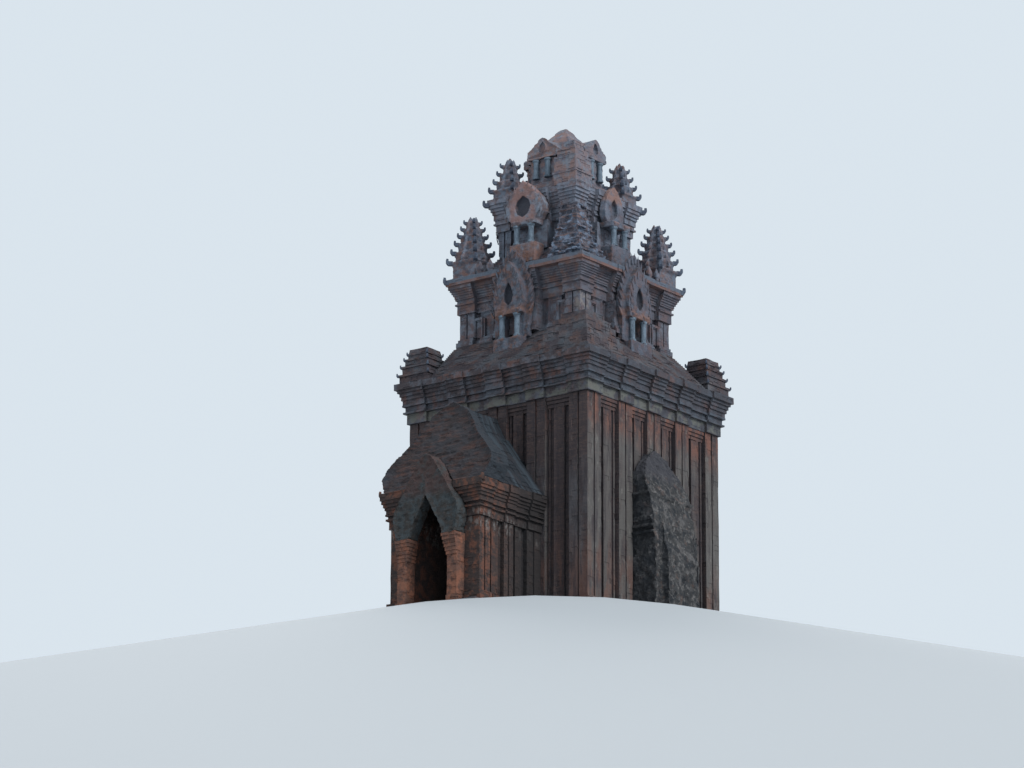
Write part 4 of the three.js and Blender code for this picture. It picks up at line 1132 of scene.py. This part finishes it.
# %% [markdown]
# Both storeys' niches are made by one loop. It reads the places of the flames from a few points along each
# arch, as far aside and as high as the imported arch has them.

# %% Niches
NICHES = {
    "second": {
        "front": -4.76, "inner_front": -5.13, "size": 0.95, "shaft": (0.505, -4.95, 16.33, 17.67),
        "outer": ((1.20, 17.70), (1.25, 18.15), (1.22, 18.6), (1.14, 19.05), (1.04, 19.45), (0.90, 19.85),
                  (0.72, 20.2), (0.50, 20.52), (0.25, 20.78), (0.0, 20.86)),
        "inner": ((0.78, 18.0), (0.80, 18.4), (0.74, 18.8), (0.62, 19.2), (0.45, 19.6), (0.22, 19.9))},
    "third": {
        "front": -3.80, "inner_front": -3.88, "size": 0.66, "shaft": (0.49, -3.71, 22.0, 23.08),
        "outer": ((1.08, 23.35), (1.14, 23.7), (1.10, 24.05), (0.97, 24.4), (0.78, 24.72), (0.54, 24.98),
                  (0.28, 25.18), (0.0, 25.25)),
        "inner": ()}}

for level, sizes in NICHES.items():
    shaft_x, shaft_y, _, head = sizes["shaft"]
    places = list(flame_places(sizes["outer"], sizes["front"], sizes["size"]))
    places += flame_places(sizes["inner"], sizes["inner_front"], sizes["size"] * INNER_FLAME_SHARE)
    flame_finish = crusted_brick if level == "second" else carved_brick
    for face, quarters in SIDES:
        turn = quarter_turn(quarters)
        node = level + "_niche_" + face
        flames_lost = node == "third_niche_right"
        body = copied(node + "_carved", node)
        remeshed(body, size=0.05)
        roughen(body, amount=0.06, size=0.3, flatten=0.7)
        finished(body, crusted_brick if flames_lost else flame_finish, "brick", node)
        shafts = colonnette_pair(sizes["shaft"], turn)
        finished(gathered(node + "_colonnettes", shafts), sandstone, "lichen_brick")
        ornaments = [placed(bracket, turn @ at(side * shaft_x, shaft_y, head)) for side in (-1, 1)]
        if not flames_lost:
            ornaments += [placed(flame, turn @ place) for place in places]
        ornament = gathered(node + "_flames", ornaments)
        remeshed(ornament, size=0.04)
        finished(ornament, flame_finish, "brick")

# %% [markdown]
# Where courses have fallen, the masonry is a heap of broken brick under lichen. The corner is cut into
# blocks, nearly half of them are knocked back, and the skin is fused and pushed about at three scales.

# %% Worn corner
worn = copied("worn_corner_rubble", "worn_corner")
lay_courses(worn, rise=THREE_COURSES, length=SHORT_BLOCK)
wear(worn, share=0.45, depth=0.12, seed=13, margin=0.03)
remeshed(worn, size=0.06)
roughen(worn, amount=0.16, size=0.9)
roughen(worn, amount=0.14, size=0.35, flatten=0.6)
roughen(worn, amount=0.08, size=0.12, flatten=0.6)
finished(worn, rubble_brick, "lichen_brick", "worn_corner")

# %% [markdown]
# The fourth storey has a gabled niche on each side, again with colonnettes, and the crown above it has
# weathered to a blunt lump. The crown's large upright faces are sunk a little, so that a rim stands round
# each gable before the weather rounds it off.

# %% Fourth storey and crown
FOURTH_SHAFT = (0.40, -2.10, 26.2, 27.3)
CROWN_RIM, CROWN_SUNK = 0.14, 0.10


def large_upright(centres, normals, areas):
    """A test for upright faces of more than one square metre."""
    return (np.abs(normals[:, 2]) < 0.2) & (areas > 1.0)


storey = copied("fourth_storey_carved", "fourth_storey")
lay_courses(storey, rise=THREE_COURSES, length=BLOCK)
wear(storey, share=0.25, depth=0.04, seed=14, margin=0.02)
remeshed(storey, size=0.06)
roughen(storey, amount=0.08, size=0.4, flatten=0.4)
finished(storey, crown_brick, "brick", "fourth_storey")

crown = copied("fourth_roof_carved", "fourth_roof")
on_faces(crown, large_upright,
         (bpy.ops.mesh.inset, {"use_individual": True, "thickness": CROWN_RIM, "depth": -CROWN_SUNK}))
remeshed(crown, size=0.05)
roughen(crown, amount=0.16, size=0.7)
roughen(crown, amount=0.07, size=0.3, flatten=0.5)
finished(crown, crown_brick, "brick", "fourth_roof")

shafts = []
for quarters in range(4):
    shafts += colonnette_pair(FOURTH_SHAFT, quarter_turn(quarters))
finished(gathered("fourth_storey_colonnettes", shafts), sandstone, "lichen_brick")

# %% [markdown]
# The false doors are blind porches, worn to lumps. The one on the right is the roughest of all, but three of
# its mouldings still run back along its sides. It has a finer skin than the two on the far sides.

# %% False doors
# Height of each moulding's underside, and how far out it reaches
DOOR_MOULDINGS = ((5.05, 7.42), (5.42, 7.36), (7.25, 7.18))
DOOR_HALF = 1.95
MOULDING_PROUD = 0.16
MOULDING_RISE = 0.2
MOULDING_BACK = 5.9
FINE_SKIN, COARSE_SKIN = 0.07, 0.10
# Share of the door's wear, and the size of the lumps, at three scales
DOOR_LUMPS = ((1.1, 1.0), (0.9, 0.40), (0.4, 0.16))

for face, amount in (("right", 0.20), ("back", 0.12), ("left", 0.12)):
    node = "false_door_" + face
    piece = copied(node + "_worn", node)
    if face == "right":
        half = DOOR_HALF + MOULDING_PROUD
        bands = [span_block("moulding", (MOULDING_BACK, -half, z), (reach, half, z + MOULDING_RISE))
                 for z, reach in DOOR_MOULDINGS]
        piece = gathered(node + "_worn", [piece] + bands)
    remeshed(piece, FINE_SKIN if face == "right" else COARSE_SKIN)
    for share, size in DOOR_LUMPS:
        roughen(piece, amount * share, size)
    finished(piece, door_brick, "lichen_brick", node)

# %% [markdown]
# The porch repeats the tower's walls at a smaller scale: slotted pilasters, with framed panels between them.
# A horn is left on each front corner of its cornice.

# %% Porch walls, cornices and pillars
PORCH_LOW, PORCH_HIGH = 0.9, 4.88
PORCH_PILASTER_FACE = 2.945
PORCH_PILASTERS = (-10.75, -8.75, -6.6)
PORCH_RECESS_FACE = 2.695
PORCH_FRAME_FACE = 2.815
PORCH_SLAB_CORNER = (3.28, -11.44, 6.70)
PORCH_HORN_SIZE = 0.9

for side in ("right", "left"):
    node = "porch_wall_" + side
    piece = copied(node + "_courses", node)
    cut_slots(piece, 0, PORCH_PILASTER_FACE, PORCH_LOW, PORCH_HIGH, PORCH_PILASTERS)
    frame_panels(piece, 0, PORCH_RECESS_FACE, PORCH_LOW, PORCH_HIGH, margin=0.06, depth=0.06)
    frame_panels(piece, 0, PORCH_FRAME_FACE, PORCH_LOW, PORCH_HIGH, margin=0.12, depth=0.05)
    lay_courses(piece, rise=THREE_COURSES, length=BLOCK)
    wear(piece, share=0.2, depth=0.02, seed=10)
    roughen(piece, amount=0.04, size=0.7)
    finished(piece, porch_brick, "brick", node)
    dressed("porch_cornice_courses_" + side, "porch_cornice_" + side, porch_brick, "brick", seed=11)
    dressed("entrance_pillar_courses_" + side, "entrance_pillar_" + side, pillar_brick, "brick",
            length=SHORT_BLOCK, seed=12)

corner_x, corner_y, corner_z = PORCH_SLAB_CORNER
parts = [placed(horn, at(side * corner_x, corner_y, corner_z, -90 + side * 45, PORCH_HORN_SIZE))
         for side in (-1, 1)]
finished(gathered("porch_horns", parts), porch_brick, "brick")

# %% [markdown]
# The porch has a steep vault, a broad gable, and a pointed arch round its entrance. The fronts of the gable
# and the arch are sunk, so that a worn rim stands round each of them.

# %% Porch roof, gable and entrance arch
GABLE_RIM, GABLE_SUNK = 0.3, 0.16
ARCH_RIM, ARCH_SUNK = 0.24, 0.10


def sink_front(piece, facing, smallest, rim, depth):
    """Sinks the large faces that look forward, and leaves a rim round them."""
    def forward(centres, normals, areas):
        return (normals[:, 1] < -facing) & (areas > smallest)

    on_faces(piece, forward, (bpy.ops.mesh.inset, {"thickness": rim, "depth": -depth}))


roof = copied("porch_roof_slopes", "porch_roof")
lay_courses(roof, rise=FOUR_COURSES, length=BLOCK)
wear(roof, share=0.25, depth=0.03, seed=15)
roughen(roof, amount=0.10, size=0.8)
finished(roof, vault_brick, "dark_brick", "porch_roof")

gable = copied("porch_gable_worn", "porch_gable")
sink_front(gable, facing=0.6, smallest=5, rim=GABLE_RIM, depth=GABLE_SUNK)
lay_courses(gable, rise=THREE_COURSES, length=BLOCK)
wear(gable, share=0.3, depth=0.05, seed=16, margin=0.03)
remeshed(gable, size=0.06)
roughen(gable, amount=0.12, size=0.8)
roughen(gable, amount=0.06, size=0.25, flatten=0.4)
finished(gable, gable_brick, "brick", "porch_gable")

arch = copied("entrance_arch_worn", "entrance_arch")
sink_front(arch, facing=0.9, smallest=3, rim=ARCH_RIM, depth=ARCH_SUNK)
lay_courses(arch, rise=THREE_COURSES, length=SHORT_BLOCK)
wear(arch, share=0.3, depth=0.05, seed=17, margin=0.03)
remeshed(arch, size=0.05)
roughen(arch, amount=0.10, size=0.3)
roughen(arch, amount=0.04, size=0.1)
finished(arch, arch_brick, "brick", "entrance_arch")

# %% [markdown]
# The templates at the origin have done their work and are taken away. Then the added pieces and their
# triangles are counted.

# %% Clearing up and counting
for template in (horn, leaf, flame, bracket, colonnette):
    bpy.data.objects.remove(template)

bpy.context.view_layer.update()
nodes = set(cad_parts.values())
added = [obj for obj in bpy.data.objects if obj.type == "MESH" and obj not in nodes and obj != mound]
total = sum(len(face.vertices) - 2 for obj in added for face in obj.data.polygons)
print(len(added), "pieces added, with", total, "triangles")
